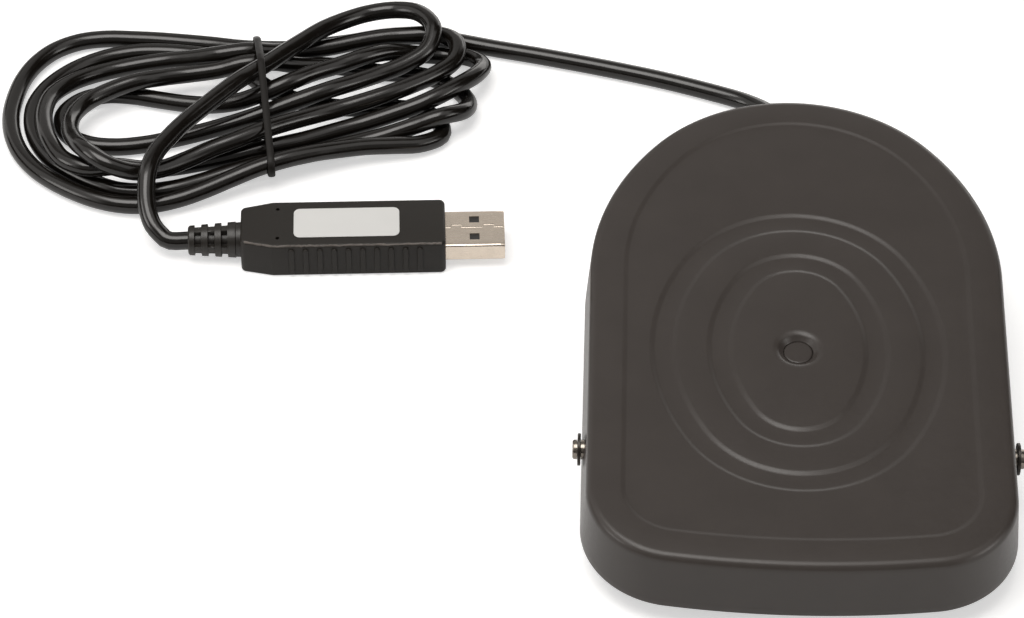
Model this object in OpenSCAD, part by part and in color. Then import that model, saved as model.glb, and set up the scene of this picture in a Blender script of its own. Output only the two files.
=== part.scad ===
// A foot pedal switch: a pressed treadle rocks on an axle over a pressed base and works a microswitch,
// whose cord lies wound in a hank and ends in a plug. Millimetres, +Z up, rest pose.

/* [Treadle] */
// Width of the treadle across its straight sides
treadle_w = 90; // [86:0.5:96]
// Length of the treadle from its front edge to its back
treadle_len = 137.5; // [134:0.5:142]
// Length of the rounded back, behind the straight sides
end_len = 53.5; // [51:0.5:55]
// Radius of the arc at the very back
end_r = 40; // [38:0.5:41]
// Radius of the two front corners
corner_r = 19.5; // [17:0.5:22]
// How far the front edge bows forward
front_bow = 4.7; // [4:0.1:5.5]
// Radius of the bend round the top edge
edge_r = 2; // [1.8:0.1:2.4]
// Sheet thickness of the treadle
treadle_t = 1.2; // [1:0.05:1.4]
// Height of the skirt under the top
skirt_h = 14.5; // [13.5:0.5:15]
// How far the skirt leans outwards, in degrees
skirt_lean = 4.6; // [3.5:0.1:5.5]
// Width of the flat border round the sunk panel
border = 7.1; // [6:0.1:8]
// Width of the step from the border to the panel
step_w = 1.3; // [1:0.1:1.6]
// How far the panel is sunk below the border
panel_drop = 0.6; // [0.4:0.05:0.8]
// Depth of the pressed ring grooves
groove_d = 0.75; // [0.5:0.05:0.9]
// Width of a groove floor
groove_w = 3.2; // [2.8:0.1:3.4]
// Width of a groove wall
groove_wall = 1.5; // [1.2:0.1:1.6]
// Radius of the end arcs of the outer groove, at its middle
outer_r = 25.5; // [25:0.1:26.5]
// Radius of the end arcs of the inner groove, at its middle
inner_r = 13.3; // [12.5:0.1:14]
// Distance of the end arcs from the middle of the rings
ring_end_y = 12; // [11:0.5:13]
// Distance of the side arcs from the middle of the rings
ring_side_x = 18.8; // [18:0.2:19.6]
// Distance of the rings and the stud behind the axle
ring_y = 22.4; // [21.5:0.1:23]
// Depth of the dimple for the stud
dimple_d = 1.3; // [1.1:0.05:1.4]
// Radius of the dimple at its rim
dimple_r = 4.5; // [4.3:0.1:5]

/* [Pivot] */
// Distance of the axle from the front edge
axle_from_front = 38.6; // [37.5:0.1:40]
// Depth of the axle below the top
axle_drop = 9.1; // [8.8:0.1:9.4]
// Height of the axle above the ground
axle_z = 13.5; // [13.4:0.1:14.2]
// Diameter of the axle
axle_d = 4.2; // [4:0.1:4.6]
// Diameter of the clip groove in the axle
axle_groove_d = 3.2; // [3:0.05:3.4]
// Length of the axle beyond the clip
axle_end = 1.1; // [0.8:0.1:1.6]
// Tilt of the treadle at rest, front low, in degrees
rest_tilt = 4; // [3.6:0.1:4.2]
// Outer diameter of a retaining clip
clip_d = 6.9; // [6.5:0.1:7.4]
// Thickness of a retaining clip
clip_t = 0.7; // [0.6:0.05:0.9]

/* [Base] */
// Sheet thickness of the base pan
base_t = 1.2; // [1:0.05:1.4]
// Radius of the bend round the bottom of the base
base_bend = 3; // [2.5:0.1:3.5]
// Height of a rubber foot
foot_h = 2.5; // [2.2:0.1:2.8]
// Diameter of a rubber foot
foot_d = 14; // [12:0.5:16]
// Distance of the feet from the middle line
foot_x = 29; // [27:0.5:31]
// Place of the rear feet along the base
foot_back_y = 38; // [36:0.5:41]
// Place of the front feet along the base
foot_front_y = -48; // [-50:0.5:-46]

/* [Switch] */
// Length of the switch case
case_len = 19.8; // [19.8:0.1:20.4]
// Width of the switch case
case_w = 6.4; // [6:0.1:6.8]
// Height of the switch case
case_h = 10.2; // [9.8:0.1:10.2]
// Distance from the lever pivot to the end of the case
pivot_in = 2.4; // [2:0.1:2.8]
// Distance from the lever pivot to the stud
lever_reach = 13; // [12.5:0.1:13.4]
// Thickness of the lever
lever_t = 0.4; // [0.3:0.05:0.45]
// Width of the lever
lever_w = 3.6; // [3:0.1:4]
// Rise of the lever at rest, in degrees
lever_tilt = 10.4; // [10.2:0.1:10.8]
// Distance from the lever pivot to the button
button_reach = 6; // [5.6:0.1:6.2]
// Radius of the button
button_r = 1; // [0.9:0.05:1.2]
// Sheet thickness of the switch bracket
bracket_t = 1; // [0.8:0.1:1.2]
// Width of the bracket foot
bracket_foot = 11; // [10:0.5:12]
// Distance between the switch screws
screw_pitch = 9.5; // [9:0.1:10]
// Diameter of a switch screw
screw_d = 2; // [1.8:0.1:2.2]

/* [Springs] */
// Distance of the springs from the middle line
spring_x = 20; // [19:0.5:21]
// Place of the springs along the base
spring_y = 36; // [34:0.5:37]
// Wire diameter of a spring
wire_d = 1.3; // [1.1:0.05:1.4]
// Mean diameter of a spring
spring_d = 9.5; // [9.3:0.1:10]
// Height of a spring post
post_h = 4; // [3:0.5:5]
// Diameter of a spring post
post_d = 7; // [6:0.1:7.2]

/* [Cord] */
// Diameter of the cord
cord_d = 4.2; // [4:0.05:4.25]
// Height of the cord where it leaves the base
exit_z = 9; // [8.8:0.1:9.6]
// Diameter of a core wire
core_d = 1.3; // [1.1:0.05:1.4]
// Length of the cord clamp along the cord
clamp_w = 8; // [6:0.5:9]
// Sheet thickness of the cord clamp
clamp_t = 1; // [0.8:0.1:1.2]
// Thickness of the tie round the hank
tie_t = 0.8; // [0.6:0.05:0.9]
// Width of the tie round the hank
tie_w = 2; // [1.5:0.1:2.5]

/* [Plug] */
// Length of the ringed boot
boot_len = 12; // [12:0.5:14]
// Length of the plug housing
plug_len = 46.5; // [45:0.5:48]
// Width of the plug housing
plug_w = 15.4; // [15:0.1:16]
// Height of the plug housing
plug_h = 9.2; // [9:0.1:9.6]
// Length of the metal shell outside the housing
shell_out = 13.5; // [12.5:0.5:14]
// Width of the metal shell
shell_w = 12; // [11.8:0.05:12.2]
// Height of the metal shell
shell_h = 4.5; // [4.4:0.05:4.6]
// Sheet thickness of the metal shell
shell_t = 0.3; // [0.25:0.01:0.35]
// Length of the blank label
label_len = 24; // [22:0.5:26]
// Width of the blank label
label_w = 9.7; // [9:0.1:10.4]

/* [Fits] */
// Radial gap of a running fit
run_gap = 0.06; // [0.04:0.01:0.1]
// Gap of a fixed piece in its hole
seat_gap = 0.03; // [0.02:0.01:0.06]
// Gap left at each stop of the treadle
stop_gap = 0.3; // [0.2:0.05:0.4]
// Gap between the treadle skirt and the base wall
base_gap = 1.8; // [1.6:0.1:2.2]
// End play of the axle at each clip
clip_play = 0.3; // [0.2:0.05:0.5]

/* [Hidden] */
$fa = 6;
$fs = 0.3;

// Outline of the treadle: y is measured from the axle
half_w = treadle_w / 2;
front_y = -axle_from_front;
back_y = treadle_len - axle_from_front;
wide_y = back_y - end_len;
end_c = end_len - end_r;
side_r = (half_w * half_w + end_c * end_c - end_r * end_r) / (2 * (half_w - end_r));
join_a = atan2(end_c, side_r - half_w);
bow_r = (half_w * half_w + front_bow * front_bow) / (2 * front_bow);
bow_y = front_y + bow_r;
corner_x = half_w - corner_r;
corner_y = bow_y - sqrt(pow(bow_r - corner_r, 2) - corner_x * corner_x);
turn_a = atan2(bow_y - corner_y, corner_x);
ring_reach = norm([ring_side_x, ring_end_y]);
oval_a = atan2(ring_end_y, ring_side_x);
lean_out = (skirt_h - edge_r) * tan(skirt_lean);
panel_z = -panel_drop;
groove_z = panel_z - groove_d;
dimple_z = panel_z - dimple_d;
dimple_floor_r = dimple_r - 1.2;

// Heights and places in the shared frame
axle_y = -((back_y + front_y) / 2 * cos(rest_tilt) + (skirt_h - axle_drop) * sin(rest_tilt));
base_in = treadle_t + base_gap;
floor_z = foot_h + base_t;
rim_y = front_y + base_in;
rim_z = axle_z + rim_y * sin(rest_tilt) + (axle_drop - treadle_t) * cos(rest_tilt) - stop_gap;
rear_y = axle_y + back_y - base_in;
clip_x = half_w + (axle_drop + clip_d / 2 - edge_r) * tan(skirt_lean) + clip_play;
axle_half = clip_x + clip_t + axle_end;

// Stud and switch, set from the stud tail at rest
stud_r = 3.15;
stud_head = 0.55;
stud_shank_r = 1.5;
stud_tail_r = 2.3;
stud_tail = 0.8;
tail_drop = axle_drop + dimple_z - treadle_t - stud_tail;
tail_y = axle_y + ring_y * cos(rest_tilt) - tail_drop * sin(rest_tilt);
tail_z = axle_z + ring_y * sin(rest_tilt) + tail_drop * cos(rest_tilt);
lever_gap = 0.3;
lever_end = 2.6;
pivot_r = 0.5;
pivot_y = tail_y - lever_reach;
pivot_z = tail_z - lever_gap - lever_t / 2 / cos(lever_tilt) - lever_reach * tan(lever_tilt);
case_top = pivot_z - 0.35;
case_y = pivot_y - pivot_in;
case_z = case_top - case_h;
button_y = pivot_y + button_reach;
button_z = pivot_z + (button_reach - button_r) * tan(lever_tilt) - lever_t / 2 / cos(lever_tilt) - 0.05;
screw_z = case_z + 2.9;
screw_y = case_y + (case_len - screw_pitch) / 2;
terminal_y = [case_y + 2, case_y + 10, case_y + 17.6];
terminal_z = floor_z + 0.8;
terminal_w = 3.2;
rivet_x = case_w / 2 + bracket_foot - 3.6;
rivet_y = [case_y + 4, case_y + case_len - 4];
rivet_r = 1.5;

// Springs
turns = 6;
closed_pitch = wire_d + 0.15;
spring_ty = (spring_y - axle_y - spring_d / 2) / cos(rest_tilt);
spring_top = axle_z + (spring_ty - 1) * sin(rest_tilt)
    + (axle_drop + panel_z - treadle_t) * cos(rest_tilt) - 0.12;
open_pitch = (spring_top - floor_z - wire_d - 2 * closed_pitch) / (turns - 2);

// Cord inside the base
lay_z = floor_z + cord_d / 2 + seat_gap;
clamp_y = 45;
clamp_x = 7.5;
clamp_screw_r = 1.4;
inner_y = 38;
grommet_r = 4.2;
sleeve = 4;
grommet_end = rear_y + sleeve;
inner_route = [[0, inner_y, lay_z], [0, clamp_y - 4, lay_z], [0, clamp_y + 4.5, lay_z],
    [0, rear_y - 11.5, (lay_z + exit_z) / 2], [0, rear_y - 7, exit_z], [0, rear_y - 4.8, exit_z],
    [0, grommet_end, exit_z]];
wire_z = floor_z + 1.5;
wire_a = [[-0.95, inner_y, lay_z], [-1.1, inner_y - 4, lay_z], [-3, 26, wire_z], [-5, 12, wire_z],
    [-5.2, -2, wire_z], [-5, terminal_y[1] + 4, wire_z], [-3.9, terminal_y[1] + 1, wire_z],
    [-2.4, terminal_y[1], wire_z], [-terminal_w / 2, terminal_y[1], wire_z]];
wire_b = [[0.95, inner_y, lay_z], [0.8, inner_y - 5, lay_z], [-1, 27, wire_z + 1], [-4.5, 18, wire_z + 2],
    [-7, 8, wire_z + 0.6], [-7.6, -4, wire_z], [-7.6, terminal_y[0] + 6, wire_z],
    [-5.5, terminal_y[0] + 1.4, wire_z], [-2.8, terminal_y[0], wire_z],
    [-terminal_w / 2, terminal_y[0], wire_z]];

// Middle of the hank, where the tie goes round it, and the way the hank lies
hank_mid = [-122, 84.5, 0];
hank_turn = 8.4;
// Points that the cord passes on its way from the base to the hank
lead_points = [[-0.2, 79.4, 8.3], [-0.9, 86.7, 6.8], [-3.2, 92.2, 4.3], [-7.3, 97, 2.8],
    [-13.2, 100.6, 2.2], [-27.8, 105.6, 2.1], [-43.1, 110.5, 2.1], [-58.3, 115.4, 2.1],
    [-68.7, 118.8, 2.1]];
// Points of the hank: five rounds that lie over each other, the last one on top
hank_points = [[-84.6, 120.4, 2.1], [-93.6, 120.3, 2.2], [-109.2, 116.8, 2.5], [-119.1, 115.5, 3.1],
    [-127.5, 116.5, 3.4], [-140.6, 119.5, 2.6], [-155.1, 119.7, 2.2], [-165.5, 118.6, 2.1],
    [-171.9, 115.9, 2.1], [-177.2, 111.4, 2.1], [-181.5, 104.6, 2.1], [-183.9, 96, 2.1],
    [-184.4, 85.5, 2.1], [-182.7, 76.7, 2.1], [-179, 69.1, 2.1], [-173.8, 63, 2.1], [-166.8, 58.3, 2.1],
    [-158.4, 55.2, 2.1], [-150.9, 54.7, 2.2], [-142.7, 56.5, 2.3], [-131, 62.1, 2.7], [-118.5, 68.4, 3.4],
    [-103.3, 73.4, 2.5], [-90.9, 76.9, 2.2], [-83, 78.3, 2.1], [-79.8, 81.3, 2.1], [-80.3, 85.5, 2.1],
    [-83.8, 88.3, 2.1], [-90.7, 89.7, 2.1], [-104, 91.4, 2.4], [-114, 94.7, 2.9], [-123, 100, 3.4],
    [-126.4, 104.3, 3.4], [-130.1, 110.2, 3.3], [-134.2, 112.9, 3], [-142, 114.5, 2.5],
    [-151.4, 114.3, 2.3], [-159, 111.8, 2.2], [-168.3, 105.9, 2.1], [-175.1, 99.4, 2.1],
    [-178.3, 93.7, 2.1], [-179.4, 87.3, 2.1], [-178.1, 79.5, 2.1], [-174.6, 71.8, 2.1],
    [-169.7, 66.2, 2.1], [-162.8, 62.1, 2.1], [-155.1, 59.9, 2.1], [-148.2, 60.3, 2.2],
    [-139.3, 63.6, 2.4], [-125.2, 71, 3.3], [-112.6, 75.8, 3.3], [-97.3, 80.4, 4.5], [-82.2, 84.9, 7],
    [-77.8, 87.1, 6.6], [-74.9, 90.2, 5.1], [-74.2, 94.3, 3.5], [-76, 98.1, 2.4], [-80, 101.1, 2.1],
    [-87.2, 103.1, 2.1], [-101.2, 103.6, 2.3], [-112.6, 103.4, 3.3], [-119, 103.2, 6.1],
    [-123.9, 102.7, 8.3], [-131.8, 101.7, 8], [-144.7, 100.1, 7.2], [-153.2, 97.1, 7.3],
    [-160.1, 92.3, 7.5], [-165.3, 86.2, 7.9], [-168.2, 79.4, 8.7], [-168.9, 72.5, 9.8],
    [-167.4, 66.4, 11], [-164.3, 61.4, 12], [-160.4, 58.3, 11.8], [-156.2, 57.3, 10.8],
    [-150.6, 58.4, 9.1], [-144.9, 61.5, 8.4], [-132.7, 71.9, 8.4], [-121.2, 78.8, 8.5], [-106.9, 86, 8.5],
    [-92.6, 93.2, 8.4], [-82.1, 99.9, 8.4], [-78.2, 104.4, 8.4], [-77.2, 108.8, 8.5], [-78.7, 112.9, 8.4],
    [-82.2, 115.6, 8.1], [-87.1, 116.5, 7.7], [-98.4, 114.5, 7.8], [-113.5, 109.3, 7.9],
    [-121.9, 108, 8.3], [-129.8, 108.3, 8.3], [-142.4, 110, 5.4], [-150.7, 109, 4.3], [-159, 105.7, 3.9],
    [-168.2, 99.7, 4.4], [-173.3, 94.2, 5.2], [-175.5, 88.7, 5.9], [-175.7, 80.3, 6.6], [-173.9, 71, 7.2],
    [-170.8, 65.3, 7], [-166.6, 61.8, 6.9], [-161.9, 60.4, 7], [-156, 61.3, 7.1], [-145.2, 65.9, 4.9],
    [-131.8, 73.5, 3.4], [-119, 79.1, 3.5], [-103.7, 83.7, 4.7], [-90.1, 88.1, 7], [-79.9, 94.3, 7.7],
    [-74.2, 99.1, 7.3], [-71.7, 103.2, 6.2], [-71.5, 107.5, 5.1], [-73.9, 111.1, 4.1], [-77.9, 113, 3.4],
    [-84.4, 113.3, 3.3], [-95.1, 111.3, 4.2], [-104.2, 107.7, 6.1], [-111.4, 102.7, 8.2],
    [-119.7, 97.3, 8.3], [-127.7, 93.8, 6.2], [-135, 93, 4.5], [-144.7, 94.7, 3.1], [-156.4, 97.1, 2.2],
    [-162.8, 96.6, 2.1], [-167.7, 94.1, 2.1], [-171.2, 89.9, 2.1], [-172.2, 85.6, 2.1],
    [-170.7, 81.5, 2.2], [-167.2, 78.7, 2.3], [-160.9, 77.2, 2.5], [-150.5, 77.7, 3.3],
    [-134.9, 80.4, 5.5], [-124.5, 83.2, 7.7], [-110.1, 89.8, 10.2], [-95.6, 96.3, 11.4],
    [-87.5, 101.3, 11.9], [-84.1, 105.5, 12.2], [-82.8, 109.8, 12.5], [-83.6, 114.1, 12.9],
    [-86.5, 117.5, 13], [-90.6, 119.2, 13.1], [-96.1, 118.9, 13.2], [-102.4, 116, 13.4],
    [-109.6, 109.9, 13.8], [-119.8, 97.6, 14.1], [-130.3, 86.9, 13.8]];
// Points that the cord passes on its way from the hank to the plug
tail_points = [[-141.3, 76, 13.6], [-145.5, 69.2, 13.7], [-147, 62.4, 13.8], [-147.5, 56.5, 12.9],
    [-147.9, 48.9, 9.3], [-146.3, 45, 7.1], [-142.9, 43, 5.2]];
plug_at = [-136.6, 42.9, plug_h / 2];
plug_turn = 3.4;
plug_way = [cos(plug_turn), sin(plug_turn), 0];

// Plug, along its own X from the cord end of the boot
boot_core_r = cord_d / 2;
rear_half = 5.9;
cut_len = 7.2;
front_cut = 0.8;
plug_front = boot_len + plug_len;
plug_tip = plug_front + shell_out;
cavity_x = boot_len + 8;
cavity_half = plug_w / 2 - 1.5;
cavity_low = 1.9 - plug_h / 2;
rail_h = 0.7;
board_t = 1.2;
board_z = cavity_low + rail_h;
shell_back = plug_front - 5;
tongue_h = shell_h / 2 - shell_t;
rib_count = 10;
rib_pitch = 3.23;
rib_w = 1.3;
ring_w = 1.6;
ring_pitch = 3.05;

function unit(v) = v / norm(v);
// Points of an arc about c, the last one left out
function arc(c, r, a0, a1, n) = [for (i = [0:n - 1])
    let (a = a0 + (a1 - a0) * i / n) c + r * [cos(a), sin(a)]];
// Points of a straight run, the last one left out
function run(p, q, n) = [for (i = [0:n - 1]) p + (q - p) * i / n];
// The treadle outline in plan, d outside the top edge
function outline(d) = concat(
    arc([half_w - side_r, wide_y], side_r + d, 0, join_a, 5),
    arc([0, wide_y + end_c], end_r + d, join_a, 180 - join_a, 12),
    arc([side_r - half_w, wide_y], side_r + d, 180 - join_a, 180, 5),
    run([-half_w - d, wide_y], [-half_w - d, corner_y], 9),
    arc([-corner_x, corner_y], corner_r + d, 180, 180 + turn_a, 8),
    arc([0, bow_y], bow_r + d, 180 + turn_a, 360 - turn_a, 5),
    arc([corner_x, corner_y], corner_r + d, 360 - turn_a, 360, 8),
    run([half_w + d, corner_y], [half_w + d, wide_y], 9));
bends = [for (p = outline(0)) atan2(p.y - ring_y, p.x)];
// A ring of four arcs: r is the radius of its end arcs
function oval_point(r, a) = abs(cos(a)) > cos(oval_a)
    ? [-sign(cos(a)) * ring_side_x, ring_y] + (r + ring_reach) * [cos(a), sin(a)]
    : [0, ring_y + sign(sin(a)) * ring_end_y] + r * [cos(a), sin(a)];
function oval(r, z) = [for (a = bends) concat(oval_point(r, a), z)];
function round_at(r, z) = [for (a = bends) [r * cos(a), ring_y + r * sin(a), z]];
function edge(d, z) = [for (p = outline(d)) [p.x, p.y, z]];
function groove(r, z) = [oval(r - groove_w / 2 - groove_wall, panel_z + z),
    oval(r - groove_w / 2, groove_z + z), oval(r + groove_w / 2, groove_z + z),
    oval(r + groove_w / 2 + groove_wall, panel_z + z)];
// One face of the pressed top, from its middle to the border
function face(z) = concat([round_at(dimple_floor_r, dimple_z + z), round_at(dimple_r, panel_z + z)],
    groove(inner_r, z), groove(outer_r, z), [edge(-border - step_w, panel_z + z), edge(-border, z)]);
function back_to_front(list) = [for (i = [len(list) - 1:-1:0]) list[i]];
// A bend of radius r inside the top edge, through the angles given
function bend(r, angles) = [for (k = angles) edge(r * sin(k) - edge_r, r * cos(k) - edge_r)];
treadle_sections = concat(face(0), bend(edge_r, [0, 30, 60, 90]),
    [edge(lean_out, -skirt_h), edge(lean_out - treadle_t, -skirt_h)],
    bend(edge_r - treadle_t, [90, 45, 0]), back_to_front(face(-treadle_t)));
// A bend round the bottom of the base, of radius r
function low_bend(r, angles) = [for (k = angles)
    edge(r * sin(k) - base_in - base_bend, foot_h + base_bend - r * cos(k))];
base_sections = concat(low_bend(base_bend - base_t, [0, 30, 60, 90]),
    [edge(-base_in - base_t, rim_z), edge(-base_in, rim_z)], low_bend(base_bend, [90, 60, 30, 0]));

// Rings of a tube of diameter d round the points of a path
function rings(path, d, sides) = [for (i = [0:len(path) - 1])
    let (t = unit(path[min(i + 1, len(path) - 1)] - path[max(i - 1, 0)]), n = unit(cross(t, [0, 0, 1])),
    b = cross(n, t)) [for (k = [0:sides - 1]) let (a = 360 * k / sides)
    path[i] + d / 2 * (cos(a) * n + sin(a) * b)]];
// A point of the curve through four route points, s from p to q
function blend(o, p, q, r, s) = 0.5 * (2 * p + (q - o) * s + (2 * o - 5 * p + 4 * q - r) * s * s
    + (3 * p - o - 3 * q + r) * s * s * s);
// A smooth path through a route, n points to a stretch
function smooth(route, n) = concat([for (i = [0:len(route) - 2], k = [0:n - 1])
    blend(route[max(i - 1, 0)], route[i], route[i + 1], route[min(i + 2, len(route) - 1)], k / n)],
    [route[len(route) - 1]]);
hank_in = hank_points[0];
hank_out = hank_points[len(hank_points) - 1];
hank_in_way = unit(hank_points[1] - lead_points[len(lead_points) - 1]);
hank_out_way = unit(tail_points[0] - hank_points[len(hank_points) - 2]);
hank_path = concat([hank_in, hank_in + cord_d / 2 * hank_in_way],
    [for (i = [1:len(hank_points) - 2]) hank_points[i]], [hank_out - cord_d / 2 * hank_out_way, hank_out]);
lead_path = concat([[0, grommet_end, exit_z], [0, grommet_end + cord_d, exit_z]], lead_points,
    [hank_in - cord_d / 2 * hank_in_way, hank_in]);
tail_path = concat([hank_out, hank_out + cord_d / 2 * hank_out_way], tail_points,
    [plug_at - cord_d * plug_way, plug_at]);
// Least gap between strands of the cord
cord_fine = smooth(concat(lead_points, hank_points, tail_points), 4);
cord_gap = min([for (i = [0:len(cord_fine) - 21], j = [i + 20:len(cord_fine) - 1])
    norm(cord_fine[i] - cord_fine[j])]) - cord_d;
echo(cord_gap = cord_gap);
// Where the cord crosses the hank, e beyond its middle: how far to its left, and how high
hank_way = [cos(hank_turn), sin(hank_turn), 0];
hank_left = [-sin(hank_turn), cos(hank_turn), 0];
wound = concat(hank_path, tail_path);
function crossings(e) = [for (i = [0:len(wound) - 2])
    let (p = wound[i], q = wound[i + 1], a = (p - hank_mid) * hank_way - e,
    b = (q - hank_mid) * hank_way - e)
    if (a * b < 0) let (m = p + (q - p) * a / (a - b)) [(m - hank_mid) * hank_left, m.z]];
tie_round = concat(crossings(-tie_w / 2), crossings(tie_w / 2));

// A helix with closed ends, standing on the floor
function coil_rise(n) = n < 1 ? n * closed_pitch
    : n > turns - 1 ? closed_pitch + (turns - 2) * open_pitch + (n - turns + 1) * closed_pitch
    : closed_pitch + (n - 1) * open_pitch;
spring_path = [for (a = [0:45:360 * turns]) [spring_d / 2 * cos(a), spring_d / 2 * sin(a),
    floor_z + wire_d / 2 + 0.02 + coil_rise(a / 360)]];

// Half section of the boot: rings on the cord, each a little larger, then a collar
boot_rings = [for (k = [0:2]) each [[3.35 + k * 0.21, k * ring_pitch],
    [3.45 + k * 0.21, k * ring_pitch + ring_w], [boot_core_r, k * ring_pitch + ring_w],
    [boot_core_r, (k + 1) * ring_pitch]]];
boot_profile = concat([[0, 0]], boot_rings, [[4, 3 * ring_pitch], [4.1, 3 * ring_pitch + ring_w],
    [3.9, 3 * ring_pitch + ring_w + 0.2], [3.9, boot_len], [boot_core_r, boot_len],
    [boot_core_r, cavity_x + 2], [0, cavity_x + 2]]);

// Plan of the plug housing, e inside its edge
function plug_plan(e, z) = [[boot_len + e, e / 2 - rear_half, z],
    [boot_len + cut_len + e / 2, e - plug_w / 2, z],
    [plug_front - front_cut - e / 2, e - plug_w / 2, z], [plug_front - e, front_cut + e / 2 - plug_w / 2, z],
    [plug_front - e, plug_w / 2 - front_cut - e / 2, z], [plug_front - front_cut - e / 2, plug_w / 2 - e, z],
    [boot_len + cut_len + e / 2, plug_w / 2 - e, z], [boot_len + e, rear_half - e / 2, z]];
plug_sections = [plug_plan(0.9, plug_h / 2), plug_plan(0.3, plug_h / 2 - 0.3),
    plug_plan(0, plug_h / 2 - 0.9),
    plug_plan(0, 0.9 - plug_h / 2), plug_plan(0.3, 0.3 - plug_h / 2), plug_plan(0.9, -plug_h / 2)];

// A closed solid through sections of equal count, the first cap seen from outside
module loft(sections) {
    n = len(sections[0]);
    m = len(sections);
    sides = [for (j = [0:m - 2], i = [0:n - 1]) [j * n + i, j * n + (i + 1) % n]];
    caps = [[for (i = [n - 1:-1:0]) i], [for (i = [0:n - 1]) (m - 1) * n + i]];
    polyhedron([for (s = sections) each s], concat(caps, [for (s = sides) [s[0], s[1], s[1] + n]],
        [for (s = sides) [s[0], s[1] + n, s[0] + n]]));
}

module on_treadle() {
    translate([0, axle_y, axle_z])
        rotate([rest_tilt, 0, 0])
            translate([0, 0, axle_drop])
                children();
}

module on_plug() {
    translate(plug_at)
        rotate([0, 0, plug_turn])
            children();
}

// A bar along X of radius r, centred
module bar(r, l) {
    rotate([0, 90, 0])
        cylinder(r = r, h = l, center = true);
}

// A bar along X of radius r, from x = 0
module bar_from(r, l) {
    rotate([0, 90, 0])
        cylinder(r = r, h = l);
}

module treadle_cover() {
    color("DimGray")
        on_treadle()
            difference() {
                loft(treadle_sections);
                translate([0, 0, -axle_drop])
                    bar(axle_d / 2 + run_gap, 2 * axle_half);
                translate([0, ring_y, dimple_z - 2 * treadle_t])
                    cylinder(r = stud_shank_r + seat_gap, h = 3 * treadle_t);
                translate([-6, back_y - edge_r - treadle_t, -skirt_h - 1])
                    cube([12, 10, 9.5]);
            }
}

module treadle_stud() {
    color("LightSlateGray")
        on_treadle()
            translate([0, ring_y, dimple_z])
                rotate_extrude()
                    polygon([[0, stud_head], [stud_r - 0.3, stud_head], [stud_r, stud_head - 0.3],
                        [stud_r, 0], [stud_shank_r, 0], [stud_shank_r, -treadle_t],
                        [stud_tail_r, -treadle_t], [stud_tail_r - 0.5, -treadle_t - stud_tail],
                        [0, -treadle_t - stud_tail]]);
}

module base_pan() {
    color("DarkSlateGray")
        difference() {
            translate([0, axle_y, 0])
                loft(base_sections);
            translate([0, axle_y, axle_z])
                bar(axle_d / 2 + seat_gap, 2 * axle_half);
            translate([0, rear_y + 2, exit_z])
                rotate([90, 0, 0])
                    cylinder(r = grommet_r + seat_gap, h = 6);
            for (y = rivet_y)
                translate([rivet_x, y, 0])
                    cylinder(r = rivet_r + seat_gap, h = floor_z + 1);
            for (x = [-clamp_x, clamp_x])
                translate([x, clamp_y, 0])
                    cylinder(r = clamp_screw_r + seat_gap, h = floor_z + 1);
            for (x = [-spring_x, spring_x])
                translate([x, spring_y, 0])
                    cylinder(r = 1.5 + seat_gap, h = floor_z + 1);
        }
}

module rubber_feet() {
    color("Black")
        for (x = [-foot_x, foot_x], y = [foot_front_y, foot_back_y])
            translate([x, y, 0])
                rotate_extrude()
                    polygon([[0, 0], [foot_d / 2 - 0.6, 0], [foot_d / 2, 0.6], [foot_d / 2, foot_h],
                        [0, foot_h]]);
}

module pivot_axle() {
    color("Silver")
        translate([0, axle_y, axle_z])
            rotate([0, 90, 0])
                difference() {
                    union() {
                        cylinder(r = axle_d / 2, h = 2 * axle_half - 0.8, center = true);
                        for (s = [0, 180])
                            rotate([s, 0, 0])
                                translate([0, 0, axle_half - 0.4])
                                    cylinder(r1 = axle_d / 2, r2 = axle_d / 2 - 0.4, h = 0.4);
                    }
                    for (s = [0, 180])
                        rotate([s, 0, 0])
                            translate([0, 0, clip_x])
                                difference() {
                                    cylinder(r = axle_d, h = clip_t + 2 * seat_gap);
                                    translate([0, 0, -1])
                                        cylinder(r = axle_groove_d / 2, h = clip_t + 2);
                                }
                }
}

module retaining_clips() {
    color("Gray")
        for (s = [-1, 1])
            translate([s * (clip_x + seat_gap + clip_t / 2) - clip_t / 2, axle_y, axle_z])
                rotate([90, 0, 90])
                    linear_extrude(clip_t)
                        difference() {
                            circle(r = clip_d / 2);
                            circle(r = axle_groove_d / 2 + seat_gap);
                            translate([-axle_groove_d * 0.42, -clip_d])
                                square([axle_groove_d * 0.84, clip_d]);
                            for (x = [-1, 1])
                                translate([x * clip_d * 0.3, clip_d * 0.1])
                                    circle(r = 0.55);
                        }
}

module return_springs() {
    color("Silver")
        for (x = [-spring_x, spring_x])
            translate([x, spring_y, 0])
                loft(rings(spring_path, wire_d, 6));
}

module spring_posts() {
    color("Ivory")
        for (x = [-spring_x, spring_x])
            translate([x, spring_y, 0])
                rotate_extrude()
                    polygon([[0, foot_h - 0.8], [2.1, foot_h - 0.8], [2.1, foot_h], [1.5, foot_h],
                        [1.5, floor_z], [post_d / 2, floor_z], [post_d / 2, floor_z + post_h - 1],
                        [post_d / 2 - 0.8, floor_z + post_h], [0, floor_z + post_h]]);
}

module switch_bracket() {
    color("Gainsboro")
        difference() {
            union() {
                translate([case_w / 2, case_y, floor_z])
                    cube([bracket_t, case_len, screw_z + 1.6 * screw_d - floor_z]);
                translate([case_w / 2, case_y, floor_z])
                    cube([bracket_foot, case_len, bracket_t]);
            }
            for (y = rivet_y)
                translate([rivet_x, y, floor_z - 1])
                    cylinder(r = rivet_r + seat_gap, h = bracket_t + 2);
            for (k = [0, 1])
                translate([0, screw_y + k * screw_pitch, screw_z])
                    bar_from(screw_d / 2 + seat_gap, case_w);
        }
}

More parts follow.
